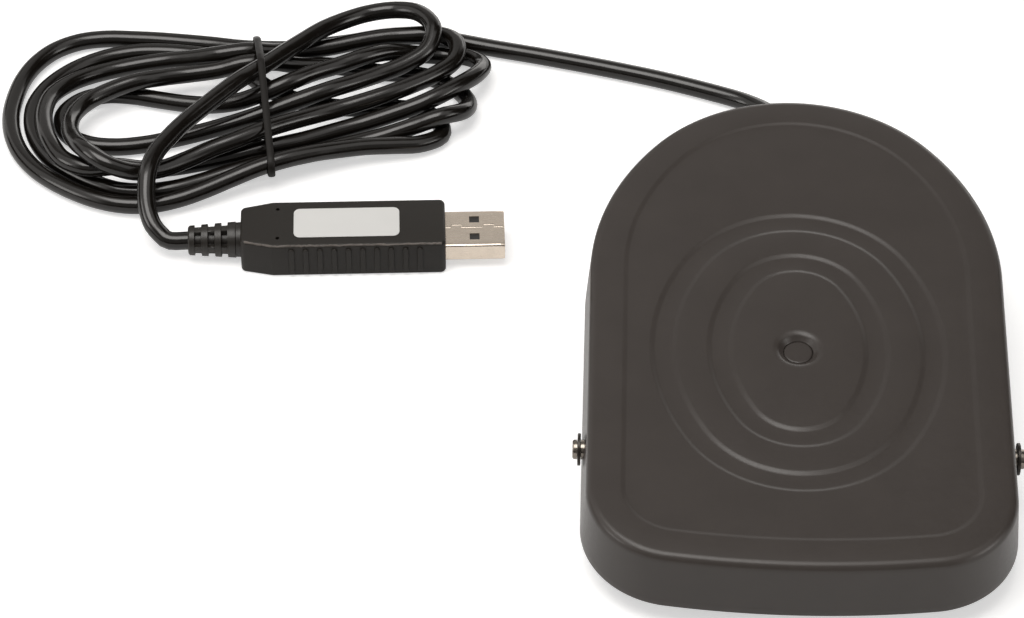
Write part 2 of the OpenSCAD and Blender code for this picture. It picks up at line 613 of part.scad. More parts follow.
module bracket_rivets() {
    color("Silver")
        for (y = rivet_y)
            translate([rivet_x, y, 0])
                rotate_extrude()
                    polygon([[0, foot_h - 0.7], [2.1, foot_h - 0.7], [2.4, foot_h], [rivet_r, foot_h],
                        [rivet_r, floor_z + bracket_t], [2.6, floor_z + bracket_t],
                        [2.2, floor_z + bracket_t + 0.9], [1.4, floor_z + bracket_t + 1.3],
                        [0, floor_z + bracket_t + 1.3]]);
}

module microswitch_case() {
    color("DimGray")
        difference() {
            translate([-case_w / 2, case_y, case_z])
                cube([case_w, case_len, case_h]);
            translate([0, pivot_y, pivot_z])
                bar(pivot_r + run_gap, case_w + 2);
            translate([0, button_y, case_top - 3.4])
                cylinder(r = button_r + run_gap, h = 4);
            for (k = [0, 1])
                translate([0, screw_y + k * screw_pitch, screw_z])
                    bar(screw_d / 2 + seat_gap, case_w + 2);
        }
}

module microswitch_terminals() {
    color("Goldenrod")
        for (y = terminal_y)
            translate([-terminal_w / 2, y - 0.25, terminal_z])
                cube([terminal_w, 0.5, case_z - terminal_z]);
}

module microswitch_lever() {
    color("Silver")
        translate([0, pivot_y, pivot_z])
            union() {
                bar(pivot_r, lever_w);
                rotate([lever_tilt, 0, 0])
                    translate([-lever_w / 2, 0, -lever_t / 2])
                        cube([lever_w, (lever_reach + lever_end) / cos(lever_tilt), lever_t]);
            }
}

module microswitch_button() {
    color("Firebrick")
        translate([0, button_y, case_top - 1.8])
            cylinder(r = button_r, h = button_z - case_top + 1.8);
}

module switch_screws() {
    color("Silver")
        for (k = [0, 1])
            translate([-case_w / 2, screw_y + k * screw_pitch, screw_z])
                rotate([0, 90, 0])
                    difference() {
                        union() {
                            cylinder(r = screw_d / 2, h = case_w + bracket_t + 2.2);
                            translate([0, 0, -1.3])
                                cylinder(r = screw_d * 0.95, h = 1.3);
                        }
                        translate([-2.5, -0.25, -2])
                            cube([5, 0.5, 1.3]);
                    }
}

module switch_nuts() {
    color("Silver")
        for (k = [0, 1])
            translate([case_w / 2 + bracket_t, screw_y + k * screw_pitch, screw_z])
                rotate([0, 90, 0])
                    difference() {
                        cylinder(r = screw_d * 1.15, h = 1.6, $fn = 6);
                        translate([0, 0, -1])
                            cylinder(r = screw_d / 2 + seat_gap, h = 4);
                    }
}

module switch_wires() {
    color("Firebrick")
        union() {
            loft(rings(smooth(wire_a, 2), core_d, 6));
            loft(rings(smooth(wire_b, 2), core_d, 6));
        }
}

module cord_clamp() {
    color("Gainsboro")
        translate([0, clamp_y + clamp_w / 2, 0])
            rotate([90, 0, 0])
                difference() {
                    linear_extrude(clamp_w)
                        difference() {
                            union() {
                                translate([0, lay_z])
                                    circle(r = cord_d / 2 + seat_gap + clamp_t);
                                translate([-clamp_x - 3.5, floor_z])
                                    square([2 * clamp_x + 7, clamp_t]);
                            }
                            translate([0, lay_z])
                                circle(r = cord_d / 2 + seat_gap);
                            translate([-cord_d / 2 - seat_gap, floor_z - 5])
                                square([cord_d + 2 * seat_gap, lay_z - floor_z + 5]);
                            translate([-20, floor_z - 10])
                                square([40, 10]);
                        }
                    for (x = [-clamp_x, clamp_x])
                        translate([x, floor_z - 1, clamp_w / 2])
                            rotate([-90, 0, 0])
                                cylinder(r = clamp_screw_r + seat_gap, h = clamp_t + 2);
                }
}

module clamp_screws() {
    color("Silver")
        for (x = [-clamp_x, clamp_x])
            translate([x, clamp_y, floor_z + clamp_t])
                difference() {
                    rotate_extrude()
                        polygon([[0, -3.2], [0.6, -3.2], [clamp_screw_r, -2.4], [clamp_screw_r, 0], [2.6, 0],
                            [2.6, 0.9], [2, 1.6], [0, 1.6]]);
                    for (a = [0, 90])
                        rotate([0, 0, a])
                            translate([-1.5, -0.3, 0.8])
                                cube([3, 0.6, 2]);
                }
}

module cord_grommet() {
    color("Black")
        translate([0, rear_y, exit_z])
            rotate([-90, 0, 0])
                rotate_extrude()
                    polygon([[cord_d / 2 + seat_gap, -4.2], [4.4, -4.2], [4.7, -3.8], [4.7, -1.75],
                        [grommet_r, -1.75], [grommet_r, seat_gap], [5, seat_gap], [5, 1],
                        [4.6, 1.5], [3.6, 1.5], [3.1, sleeve], [cord_d / 2 + seat_gap, sleeve]]);
}

module cord_inner() {
    color("Black")
        loft(rings(smooth(inner_route, 2), cord_d, 10));
}

module cord_lead() {
    color("Black")
        loft(rings(lead_path, cord_d, 10));
}

module cord_hank() {
    color("Black")
        loft(rings(hank_path, cord_d, 6));
}

module cord_tail() {
    color("Black")
        loft(rings(tail_path, cord_d, 10));
}

// The outline of the strands at the waist, e outside them
module waist_shape(e) {
    hull()
        for (p = tie_round)
            translate(p)
                circle(r = cord_d / 2 + e, $fn = 24);
}

module cord_tie() {
    color("Black")
        translate(hank_mid)
            rotate([0, 0, hank_turn])
                translate([-tie_w / 2, 0, 0])
                    rotate([90, 0, 90])
                        linear_extrude(tie_w)
                            difference() {
                                waist_shape(0.2 + tie_t);
                                waist_shape(0.2);
                            }
}

module plug_boot() {
    color("Black")
        on_plug()
            union() {
                rotate([0, 90, 0])
                    rotate_extrude()
                        polygon(boot_profile);
                for (a = [0:90:270])
                    rotate([a, 0, 0])
                        translate([0.6, -ring_w / 2, 1])
                            cube([boot_len - 1.2, ring_w, 2.2]);
            }
}

module plug_housing() {
    color("DarkSlateGray")
        on_plug()
            difference() {
                union() {
                    loft(plug_sections);
                    for (k = [0:rib_count - 1])
                        translate([boot_len + 11.6 - rib_w / 2 + k * rib_pitch, 0, 0])
                            translate([0, -plug_w / 2 - 0.35, 1 - plug_h / 2])
                                cube([rib_w, plug_w + 0.7, plug_h - 2]);
                }
                difference() {
                    translate([cavity_x, -cavity_half, cavity_low])
                        cube([plug_front - 1.5 - cavity_x, 2 * cavity_half, -2 * cavity_low]);
                    for (s = [-1, 1])
                        translate([cavity_x - 1, s * cavity_half - 1.2, cavity_low - 1])
                            cube([shell_back - cavity_x, 2.4, rail_h + 1]);
                }
                bar_from(boot_core_r + seat_gap, cavity_x + 1);
                translate([plug_front - 2, -shell_w / 2 - seat_gap, -shell_h / 2 - seat_gap])
                    cube([3, shell_w + 2 * seat_gap, shell_h + 2 * seat_gap]);
                for (y = [-4.9, 4.9])
                    translate([boot_len + 8.45, y, plug_h / 2 - 0.8])
                        cylinder(r = 0.45, h = 2);
            }
}

module plug_label() {
    color("White")
        on_plug()
            translate([boot_len + 12.1, -label_w / 2, plug_h / 2])
                linear_extrude(0.12)
                    round_plate(label_len, label_w, 1.5);
}

// A rectangle with rounded corners, from its lower left
module round_plate(l, w, r) {
    union() {
        translate([r, 0])
            square([l - 2 * r, w]);
        translate([0, r])
            square([l, w - 2 * r]);
        for (x = [r, l - r], y = [r, w - r])
            translate([x, y])
                circle(r = r);
    }
}

module plug_shell() {
    color("Tan")
        on_plug()
            difference() {
                translate([shell_back, 0, 0])
                    rotate([90, 0, 90])
                        linear_extrude(plug_tip - shell_back)
                            difference() {
                                translate([-shell_w / 2, -shell_h / 2])
                                    round_plate(shell_w, shell_h, 0.6);
                                translate([shell_t - shell_w / 2, shell_t - shell_h / 2])
                                    round_plate(shell_w - 2 * shell_t, shell_h - 2 * shell_t, 0.6 - shell_t);
                            }
                for (y = [-2.9, 2.9])
                    translate([plug_tip - 8, y - 1.15, -5])
                        cube([2.2, 2.3, 10]);
            }
}

module plug_tongue() {
    color("Black")
        on_plug()
            union() {
                translate([shell_back, 0.3 + shell_t - shell_w / 2, 0])
                    cube([plug_tip - 0.5 - shell_back, shell_w - 2 * shell_t - 0.6, tongue_h]);
                translate([shell_back, 0.3 + shell_t - shell_w / 2, 0.05 - tongue_h])
                    cube([5, shell_w - 2 * shell_t - 0.6, 2 * tongue_h - 0.05]);
            }
}

module plug_contacts() {
    color("Gold")
        on_plug()
            for (y = [-3.5, -1, 1, 3.5])
                translate([shell_back + 5.5, y - 0.5, -0.15])
                    cube([plug_tip - shell_back - 7, 1, 0.15]);
}

module controller_board() {
    color("DarkGreen")
        on_plug()
            translate([cavity_x + 3, 0.15 - cavity_half, board_z])
                cube([shell_back - cavity_x - 3.1, 2 * cavity_half - 0.3, board_t]);
}

module controller_chip() {
    color("Black")
        on_plug()
            translate([cavity_x + 14, -4, board_z + board_t])
                cube([8, 8, 1.4]);
}

treadle_cover();
treadle_stud();
base_pan();
rubber_feet();
pivot_axle();
retaining_clips();
return_springs();
spring_posts();
switch_bracket();
bracket_rivets();
microswitch_case();
microswitch_terminals();
microswitch_lever();
microswitch_button();
switch_screws();
switch_nuts();
switch_wires();
cord_clamp();
clamp_screws();
cord_grommet();
cord_inner();
cord_lead();
cord_hank();
cord_tail();
cord_tie();
plug_boot();
plug_housing();
plug_label();
plug_shell();
plug_tongue();
plug_contacts();
controller_board();
controller_chip();
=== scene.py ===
"""Looks of a foot pedal switch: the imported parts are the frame, and smooth skins, the cord and the finishes
go on it. Shapes are worked out in millimetres and put into the meshes in metres."""

import bmesh
import bpy
import numpy as np
from bpy.props import FloatProperty, FloatVectorProperty
from mathutils import Matrix, Vector
from mathutils.geometry import delaunay_2d_cdt


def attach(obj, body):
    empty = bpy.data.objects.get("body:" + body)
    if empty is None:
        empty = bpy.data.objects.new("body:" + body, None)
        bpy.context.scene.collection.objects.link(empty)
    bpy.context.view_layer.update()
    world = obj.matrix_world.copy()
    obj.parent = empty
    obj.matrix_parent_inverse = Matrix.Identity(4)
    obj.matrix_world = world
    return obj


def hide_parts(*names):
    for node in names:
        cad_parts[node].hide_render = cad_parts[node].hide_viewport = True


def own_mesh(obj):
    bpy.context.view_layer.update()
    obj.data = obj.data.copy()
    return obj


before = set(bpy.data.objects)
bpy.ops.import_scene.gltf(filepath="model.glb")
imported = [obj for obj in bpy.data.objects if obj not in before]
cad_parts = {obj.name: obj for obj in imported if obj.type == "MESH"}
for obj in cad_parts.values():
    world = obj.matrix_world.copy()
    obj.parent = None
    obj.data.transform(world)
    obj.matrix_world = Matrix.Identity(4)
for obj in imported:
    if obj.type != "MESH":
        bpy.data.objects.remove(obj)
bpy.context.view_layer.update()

bl_info = {
    "name": "Foot pedal switch",
    "version": (1, 0, 0),
    "blender": (4, 5, 0),
    "location": "View3D > Sidebar > Pedal",
    "description": "Skins, cord, plug and finishes of a foot pedal switch over its packed parts",
    "category": "Object",
}

MM = 0.001
# Light of the studio, a little warm
WARM = (1.0, 0.975, 0.945)
# Millimetres between the treadle's skirt and the wall of the base, and at a seat
WALL_GAP = 1.8
SEAT_GAP = 0.03
# Places in millimetres of the clip grooves along the axle and of the feet
CLIP_GROOVE = 46.15
FOOT_X, FOOT_Y = (-29, 29), (-48, 38)


def linear(code):
    """An sRGB hex value as linear red, green and blue."""
    c = np.array([int(code[i:i + 2], 16) for i in (0, 2, 4)]) / 255
    return tuple(np.where(c <= 0.04045, c / 12.92, ((c + 0.055) / 1.055) ** 2.4).tolist())


def length(name, description, mm):
    """A length property whose default is given in millimetres."""
    return FloatProperty(name=name, description=description, default=mm * MM, unit="LENGTH", precision=5)


def colour(name, description, code):
    """A colour property whose default is an sRGB hex value."""
    return FloatVectorProperty(name=name, description=description, default=linear(code), size=3,
                               subtype="COLOR",
                               min=0, max=1)


class TreadleSizes(bpy.types.PropertyGroup):
    """Sizes of the pressed treadle, its pivot and its base."""
    width: length("Width", "Across the straight sides", 90)
    long: length("Length", "From the front edge to the back", 137.5)
    end_long: length("Back length", "Of the rounded back behind the straight sides", 53.5)
    end_r: length("Back radius", "Of the arc at the very back", 40)
    corner_r: length("Corner radius", "Of the two front corners", 19.5)
    bow: length("Front bow", "How far the front edge bows forward", 4.7)
    edge_r: length("Edge radius", "Of the bend round the top", 2)
    sheet: length("Sheet", "Thickness of the pressed sheet", 1.2)
    skirt: length("Skirt", "Height of the skirt", 14.5)
    border: length("Border", "Width of the flat border", 7.1)
    step: length("Step", "Width of the step down to the panel", 1.4)
    drop: length("Panel drop", "Depth of the panel below the border", 0.25)
    groove: length("Groove depth", "Of the pressed rings", 0.36)
    dimple: length("Dimple", "Depth of its floor below the top", 2.05)
    axle_in: length("Axle place", "From the front edge", 38.6)
    axle_drop: length("Axle depth", "Below the top", 9.1)
    axle_z: length("Axle height", "Above the ground", 13.5)
    axle_d: length("Axle", "Diameter of the axle", 4.2)
    ring_y: length("Ring place", "Of the rings and the stud behind the axle", 22.4)
    tilt: FloatProperty(name="Tilt", description="Of the treadle at rest", default=np.radians(4.0),
                        subtype="ANGLE")
    lean: FloatProperty(name="Lean", description="Of the skirt, outwards", default=np.radians(4.6),
                        subtype="ANGLE")


class CordSizes(bpy.types.PropertyGroup):
    """Sizes of the cord and its hank."""
    thick: length("Diameter", "Of the cord", 4.2)
    long: length("Length", "From the pedal to the plug", 1430)


class PlugSizes(bpy.types.PropertyGroup):
    """Sizes of the plug."""
    boot: length("Boot", "Length of the ringed boot", 12)
    long: length("Housing", "Length of the housing", 46.5)
    wide: length("Width", "Of the housing", 15.4)
    high: length("Height", "Of the housing", 9.2)
    shell: length("Shell", "Length of the metal shell outside the housing", 13.5)
    shell_wide: length("Shell width", "Of the metal shell", 12)
    shell_high: length("Shell height", "Of the metal shell", 4.5)
    shell_sheet: length("Shell sheet", "Thickness of its strip", 0.3)
    label: length("Label", "Length of the blank label", 24)
    label_wide: length("Label width", "Of the blank label", 9.7)


class PedalColours(bpy.types.PropertyGroup):
    """Colours of the finishes."""
    paint: colour("Treadle paint", "Satin dark grey", "3E3936")
    base: colour("Base paint", "Satin black", "1D1C1B")
    rubber: colour("Rubber", "Feet and grommet", "161514")
    cord: colour("Cord", "Black PVC", "120F0C")
    plug: colour("Plug", "Moulded housing and boot", "1B1712")
    label: colour("Label", "Blank film", "DEDEDC")
    nickel: colour("Nickel", "Plug shell", "E3D6C7")
    steel: colour("Steel", "Springs and lever", "A7A39E")
    axle: colour("Axle", "Oiled steel", "8A837B")
    oxide: colour("Black oxide", "Retaining clips", "34302C")
    zinc: colour("Zinc", "Bracket, clamp, screws and rivets", "BFC1C0")


def grid_faces(m, n, wrap=False):
    """Quads over m closed rows of n points; wrap joins the last row to the first."""
    i = np.arange(m if wrap else m - 1)[:, None]
    j = np.arange(n)[None]
    row, beside = (i + 1) % m, (j + 1) % n
    corners = np.broadcast_arrays(i * n + j, i * n + beside, row * n + beside, row * n + j)
    return np.stack(corners, -1).reshape(-1, 4)


def loft(points):
    """Faces over rows of closed sections, each end closed by one face."""
    m, n = points.shape[:2]
    caps = [list(range(n)), list(range((m - 1) * n, m * n))]
    return points.reshape(-1, 3), grid_faces(m, n).tolist() + caps


def revolve(profile, n=96):
    """A closed profile of radius and height turned about Z, with a face at each end where it leaves the
    axis."""
    a = np.linspace(0, 2 * np.pi, n, endpoint=False)
    r, z = profile[:, 0, None], profile[:, 1, None]
    return loft(np.stack([r * np.cos(a), r * np.sin(a), np.broadcast_to(z, (len(profile), n))], -1))


def rounded(points, radius, n=5):
    """A profile whose inner corners are rounded: each corner becomes an arc-like curve through points set
    back from it by the radius, a quadratic blend of the two legs."""
    p = np.asarray(points, float)
    a, b, c = p[:-2], p[1:-1], p[2:]
    back = np.minimum(radius, 0.45 * np.linalg.norm(b - a, axis=1))[:, None]
    ahead = np.minimum(radius, 0.45 * np.linalg.norm(c - b, axis=1))[:, None]
    s = b + back * (a - b) / np.maximum(np.linalg.norm(a - b, axis=1), 1e-9)[:, None]
    e = b + ahead * (c - b) / np.maximum(np.linalg.norm(c - b, axis=1), 1e-9)[:, None]
    t = np.linspace(0, 1, n)[None, :, None]
    curve = (1 - t) ** 2 * s[:, None] + 2 * t * (1 - t) * b[:, None] + t ** 2 * e[:, None]
    return np.concatenate([p[:1], curve.reshape(-1, p.shape[1]), p[-1:]])


def joined(*parts):
    """Several point and face lists as one."""
    points, faces, start = [], [], 0
    for p, f in parts:
        points.append(p)
        faces += [[i + start for i in face] for face in f]
        start += len(p)
    return np.concatenate(points), faces


def moved(part, place):
    """A point and face list with its points taken through place."""
    return place(part[0]), part[1]


def along(path, sides, half_w, half_h, flat=(0, 0, 1), close=False):
    """An oval section carried along a path: across is square to the path and to the flat direction, and up
    is square to both."""
    t = np.roll(path, -1, 0) - np.roll(path, 1, 0) if close else np.gradient(path, axis=0)
    t /= np.linalg.norm(t, axis=1)[:, None]
    across = np.cross(t, np.asarray(flat, float))
    across /= np.linalg.norm(across, axis=1)[:, None]
    up = np.cross(across, t)
    a = np.linspace(0, 2 * np.pi, sides, endpoint=False)[None, :, None]
    points = path[:, None] + half_w * np.cos(a) * across[:, None] + half_h * np.sin(a) * up[:, None]
    if close:
        return points.reshape(-1, 3), grid_faces(len(path), sides, wrap=True).tolist()
    return loft(points)


def even(path, step):
    """A path with points set evenly along its length."""
    d = np.r_[0, np.cumsum(np.linalg.norm(np.diff(path, axis=0), axis=1))]
    s = np.linspace(0, d[-1], int(round(d[-1] / step)) + 1)
    return np.stack([np.interp(s, d, path[:, k]) for k in range(path.shape[1])], -1)


def smooth(route, n=16):
    """A curve through route points: each stretch is the cubic whose slope at a point is half the step
    between its neighbours."""
    p = np.asarray(route, float)
    q = np.concatenate([p[:1], p, p[-1:]])
    o, a, b, c = (q[i:len(q) - 3 + i, None] for i in range(4))
    s = np.linspace(0, 1, n, endpoint=False)[None, :, None]
    curve = 0.5 * (2 * a + (b - o) * s + (2 * o - 5 * a + 4 * b - c) * s ** 2
                   + (3 * a - o - 3 * b + c) * s ** 3)
    return np.concatenate([curve.reshape(-1, 3), p[-1:]])


def ease(k):
    """0 to 1 with flat ends."""
    k = np.clip(k, 0, 1)
    return k * k * (3 - 2 * k)


def placed(name, data):
    """A new object of that data, linked to the scene."""
    made = bpy.data.objects.new(name, data)
    bpy.context.scene.collection.objects.link(made)
    return made


def piece(name, part, finish, body, stands_for=(), sharp=32):
    """A mesh from points in millimetres: faces turned outwards, smooth but for edges sharper than an
    angle."""
    mesh = bpy.data.meshes.new(name)
    mesh.from_pydata((part[0] * MM).tolist(), [], part[1])
    bm = bmesh.new()
    bm.from_mesh(mesh)
    bmesh.ops.remove_doubles(bm, verts=bm.verts, dist=1e-7)
    bmesh.ops.recalc_face_normals(bm, faces=bm.faces)
    bm.to_mesh(mesh)
    bm.free()
    mesh.shade_smooth()
    mesh.set_sharp_from_angle(angle=np.radians(sharp))
    mesh.materials.append(finish)
    made = placed(name, mesh)
    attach(made, body)
    if stands_for:
        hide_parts(*stands_for)
    return made


def add(tree, kind, inputs=None, **settings):
    """A node of that kind: settings are its own properties, inputs its sockets, each a value or an
    output."""
    made = tree.nodes.new(kind)
    for key, value in settings.items():
        setattr(made, key, value)
    for key, value in (inputs or {}).items():
        if isinstance(value, bpy.types.NodeSocket):
            tree.links.new(value, made.inputs[key])
        else:
            made.inputs[key].default_value = value
    return made


def per_mm(mm):
    """A texture scale whose grain is that many millimetres wide."""
    return 1 / (mm * MM)


def finish(name, rgb, roughness, grain=0.0, depth=0.0, spread=0.0, stretch=(1, 1, 1), blotch=0.0,
           **sockets):
    """A procedural surface: a principled shader whose roughness wanders by spread over the grain, whose
    colour wanders by blotch over a ten times coarser one, and whose normal takes a bump of that depth;
    grain is in millimetres and stretch divides it along an axis."""
    made = bpy.data.materials.get(name)
    if made:
        return made
    made = bpy.data.materials.new(name)
    made.use_nodes = True
    tree = made.node_tree
    shader = tree.nodes["Principled BSDF"]
    shader.inputs["Base Color"].default_value = (*rgb, 1)
    shader.inputs["Roughness"].default_value = roughness
    for key, value in sockets.items():
        shader.inputs[key.replace("_", " ")].default_value = value
    if grain:
        where = add(tree, "ShaderNodeTexCoord")
        place = add(tree, "ShaderNodeMapping", {"Vector": where.outputs["Object"], "Scale": stretch})
        fine = add(tree, "ShaderNodeTexNoise",
                   {"Vector": place.outputs[0], "Scale": per_mm(grain), "Detail": 3.0})
        rough = add(tree, "ShaderNodeMapRange",
                    {"Value": fine.outputs["Fac"], "From Min": 0.3, "From Max": 0.7,
                                                 "To Min": roughness - spread,
                     "To Max": roughness + spread})
        tree.links.new(rough.outputs[0], shader.inputs["Roughness"])
        bump = add(tree, "ShaderNodeBump",
                   {"Height": fine.outputs["Fac"], "Strength": 1.0, "Distance": depth * MM})
        tree.links.new(bump.outputs[0], shader.inputs["Normal"])
        if blotch:
            broad = add(tree, "ShaderNodeTexNoise", {"Vector": where.outputs["Object"],
                                                     "Scale": per_mm(grain * 10), "Detail": 2.0})
            share = add(tree, "ShaderNodeMapRange", {"Value": broad.outputs["Fac"], "From Min": 0.3,
                                                     "From Max": 0.7, "To Min": 1 - blotch,
                                                     "To Max": 1 + blotch})
            tint = add(tree, "ShaderNodeVectorMath", {0: rgb, "Scale": share.outputs[0]}, operation="SCALE")
            tree.links.new(tint.outputs[0], shader.inputs["Base Color"])
    return made


def finishes():
    """Every finish of the pedal, by a short name."""
    c = bpy.context.scene.pedal_colours
    return {
        # Baked satin paint on pressed steel: a faint orange peel and a soft, even sheen
        "paint": finish("baked satin paint", tuple(c.paint), 0.32, grain=0.9, depth=0.003, spread=0.03,
                        blotch=0.04, IOR=1.5, Specular_IOR_Level=0.38),
        # Baked black paint under the pedal: thinner and a little duller
        "base": finish("baked black paint", tuple(c.base), 0.42, grain=0.8, depth=0.008, spread=0.05,
                       blotch=0.06, IOR=1.5),
        # Moulded rubber: dull, with a fine tooth
        "rubber": finish("moulded rubber", tuple(c.rubber), 0.72, grain=0.35, depth=0.03, spread=0.08,
                         blotch=0.1, IOR=1.52),
        # Extruded PVC: glossy, with slow ripples along the cord
        "cord": finish("extruded PVC", tuple(c.cord), 0.18, grain=2.2, depth=0.012, spread=0.04,
                       blotch=0.08, IOR=1.53),
        # Moulded ABS from a spark-eroded tool: a fine even grain that breaks up the shine
        "plug": finish("spark textured ABS", tuple(c.plug), 0.5, grain=0.28, depth=0.022, spread=0.07,
                       blotch=0.05, IOR=1.54, Specular_IOR_Level=0.34),
        # Flash trimmed by hand along a moulded edge: torn and rough; its pale colour is partly worn flash and
        # partly a painted highlight along the edge
        "flash": finish("trimmed flash with painted highlight", linear("57504A"), 0.45, grain=0.3, depth=0.05,
                        spread=0.1, blotch=0.2, IOR=1.54),
        # PVC film round a tie wire: thin and dull
        "tie": finish("dull PVC film", tuple(c.cord), 0.5, grain=0.6, depth=0.01, spread=0.06, blotch=0.08,
                      IOR=1.53, Specular_IOR_Level=0.25),
        # Moulded PVC of the boot: smoother than the housing
        "boot": finish("moulded PVC", tuple(c.plug), 0.42, grain=0.5, depth=0.012, spread=0.05,
                       blotch=0.05, IOR=1.53),
        # White label film: satin, nearly flat
        "label": finish("white label film", tuple(c.label), 0.38, grain=0.6, depth=0.003, spread=0.04,
                        blotch=0.01, IOR=1.5),
        # Nickel plate on drawn strip: bright, with fine drawing lines along the plug
        "nickel": finish("nickel plated strip", tuple(c.nickel), 0.24, grain=0.25, depth=0.004, spread=0.06,
                         stretch=(0.06, 1, 1), blotch=0.03, Metallic=1.0),
        # Turned steel: lines round the axle, short along it
        "steel": finish("turned steel", tuple(c.steel), 0.3, grain=0.2, depth=0.006, spread=0.08,
                        stretch=(1, 0.2, 0.2), blotch=0.05, Metallic=1.0),
        # Oiled axle steel: darker than the springs and smooth, so its upper side flashes
        "axle": finish("oiled axle steel", tuple(c.axle), 0.22, grain=0.2, depth=0.004, spread=0.06,
                       stretch=(1, 0.2, 0.2), blotch=0.05, Metallic=1.0),
        # Black oxide on spring steel: dark, slightly oily
        "oxide": finish("black oxide steel", tuple(c.oxide), 0.34, grain=0.3, depth=0.005, spread=0.08,
                        blotch=0.1, Metallic=0.6),
        # Zinc plate: pale and cloudy
        "zinc": finish("zinc plate", tuple(c.zinc), 0.36, grain=0.6, depth=0.006, spread=0.1, blotch=0.08,
                       Metallic=1.0),
        # Natural nylon: milky and smooth
        "nylon": finish("natural nylon", linear("DCD8CC"), 0.45, grain=0.5, depth=0.008, spread=0.05,
                        blotch=0.02, IOR=1.53, Subsurface_Weight=0.1),
        # Phenolic moulding of the switch case: dense and dull
        "phenolic": finish("phenolic moulding", linear("232120"), 0.5, grain=0.3, depth=0.015, spread=0.08,
                           blotch=0.08, IOR=1.6),
        # Plain brass strip of the terminals
        "brass": finish("plain brass strip", linear("C3A463"), 0.3, grain=0.3, depth=0.005, spread=0.08,
                        stretch=(1, 1, 0.1), blotch=0.06, Metallic=1.0),
        # Gold flash on the plug contacts
        "gold": finish("gold flash", linear("D9B868"), 0.22, grain=0.25, depth=0.003, spread=0.05,
                       stretch=(0.1, 1, 1), blotch=0.03, Metallic=1.0),
        # Red moulded plastic of the switch button and core wires
        "red": finish("red moulded plastic", linear("9C1F18"), 0.35, grain=0.6, depth=0.006, spread=0.05,
                      blotch=0.05, IOR=1.53),
        # Solder mask over glass laminate
        "mask": finish("green solder mask", linear("1F5A32"), 0.3, grain=0.5, depth=0.004, spread=0.05,
                       blotch=0.08, IOR=1.5),
    }


def kinds(group):
    """The values of a size group in millimetres, and its angles in radians, by name."""
    s = getattr(bpy.context.scene, group)
    return {k: getattr(s, k) / (1 if k in ("tilt", "lean") else MM) for k in s.__annotations__}


def outline(d, s):
    """The treadle in plan, d outside its top edge, anticlockwise from the start of the right side arc: two
    side arcs and an end arc that meet in tangents, straight sides, front corners and a shallow bow. y is
    from the axle."""
    half, front, back = s["width"] / 2, -s["axle_in"], s["long"] - s["axle_in"]
    wide, centre = back - s["end_long"], s["end_long"] - s["end_r"]
    side = (half ** 2 + centre ** 2 - s["end_r"] ** 2) / (2 * (half - s["end_r"]))
    join = np.arctan2(centre, side - half)
    bow = (half ** 2 + s["bow"] ** 2) / (2 * s["bow"])
    cx, r = half - s["corner_r"], s["corner_r"]
    cy = front + bow - np.sqrt((bow - r) ** 2 - cx ** 2)
    turn = np.arctan2(front + bow - cy, cx)

    def arc(x, y, radius, a0, a1, n):
        a = np.linspace(a0, a1, n, endpoint=False)
        return np.stack([x + (radius + d) * np.cos(a), y + (radius + d) * np.sin(a)], -1)

    def run(x, y0, y1, n):
        return np.stack([np.full(n, x), np.linspace(y0, y1, n, endpoint=False)], -1)

    pi = np.pi
    return np.concatenate([
        arc(half - side, wide, side, 0, join, 28), arc(0, wide + centre, s["end_r"], join, pi - join, 180),
        arc(side - half, wide, side, pi - join, pi, 28), run(-half - d, wide, cy, 36),
        arc(-cx, cy, r, pi, pi + turn, 44), arc(0, front + bow, bow, pi + turn, 2 * pi - turn, 44),
        arc(cx, cy, r, 2 * pi - turn, 2 * pi, 44), run(half + d, cy, wide, 36)])


def on_treadle(p):
    """Points of the treadle, with z from its top, turned to the rest tilt about the axle."""
    s = kinds("pedal_treadle")
    c, n = np.cos(s["tilt"]), np.sin(s["tilt"])
    y, z = p[:, 1], p[:, 2] + s["axle_drop"]
    return np.stack([p[:, 0], axle_y(s) + y * c - z * n, s["axle_z"] + y * n + z * c], -1)


def axle_y(s):
    """The axle's place along the frame, which sets the pedal's box about the origin."""
    middle = (s["long"] - 2 * s["axle_in"]) / 2
    return -(middle * np.cos(s["tilt"]) + (s["skirt"] - s["axle_drop"]) * np.sin(s["tilt"]))


# The dimple round the stud: radius and depth below the panel, from its floor out to the flat
DIMPLE = ((3.2, 1.38), (3.4, 1.22), (3.65, 1.0), (3.9, 0.76), (4.1, 0.56), (4.3, 0.4), (4.55, 0.26),
          (4.85, 0.14), (5.15, 0.06), (5.5, 0.01), (5.8, 0.0))


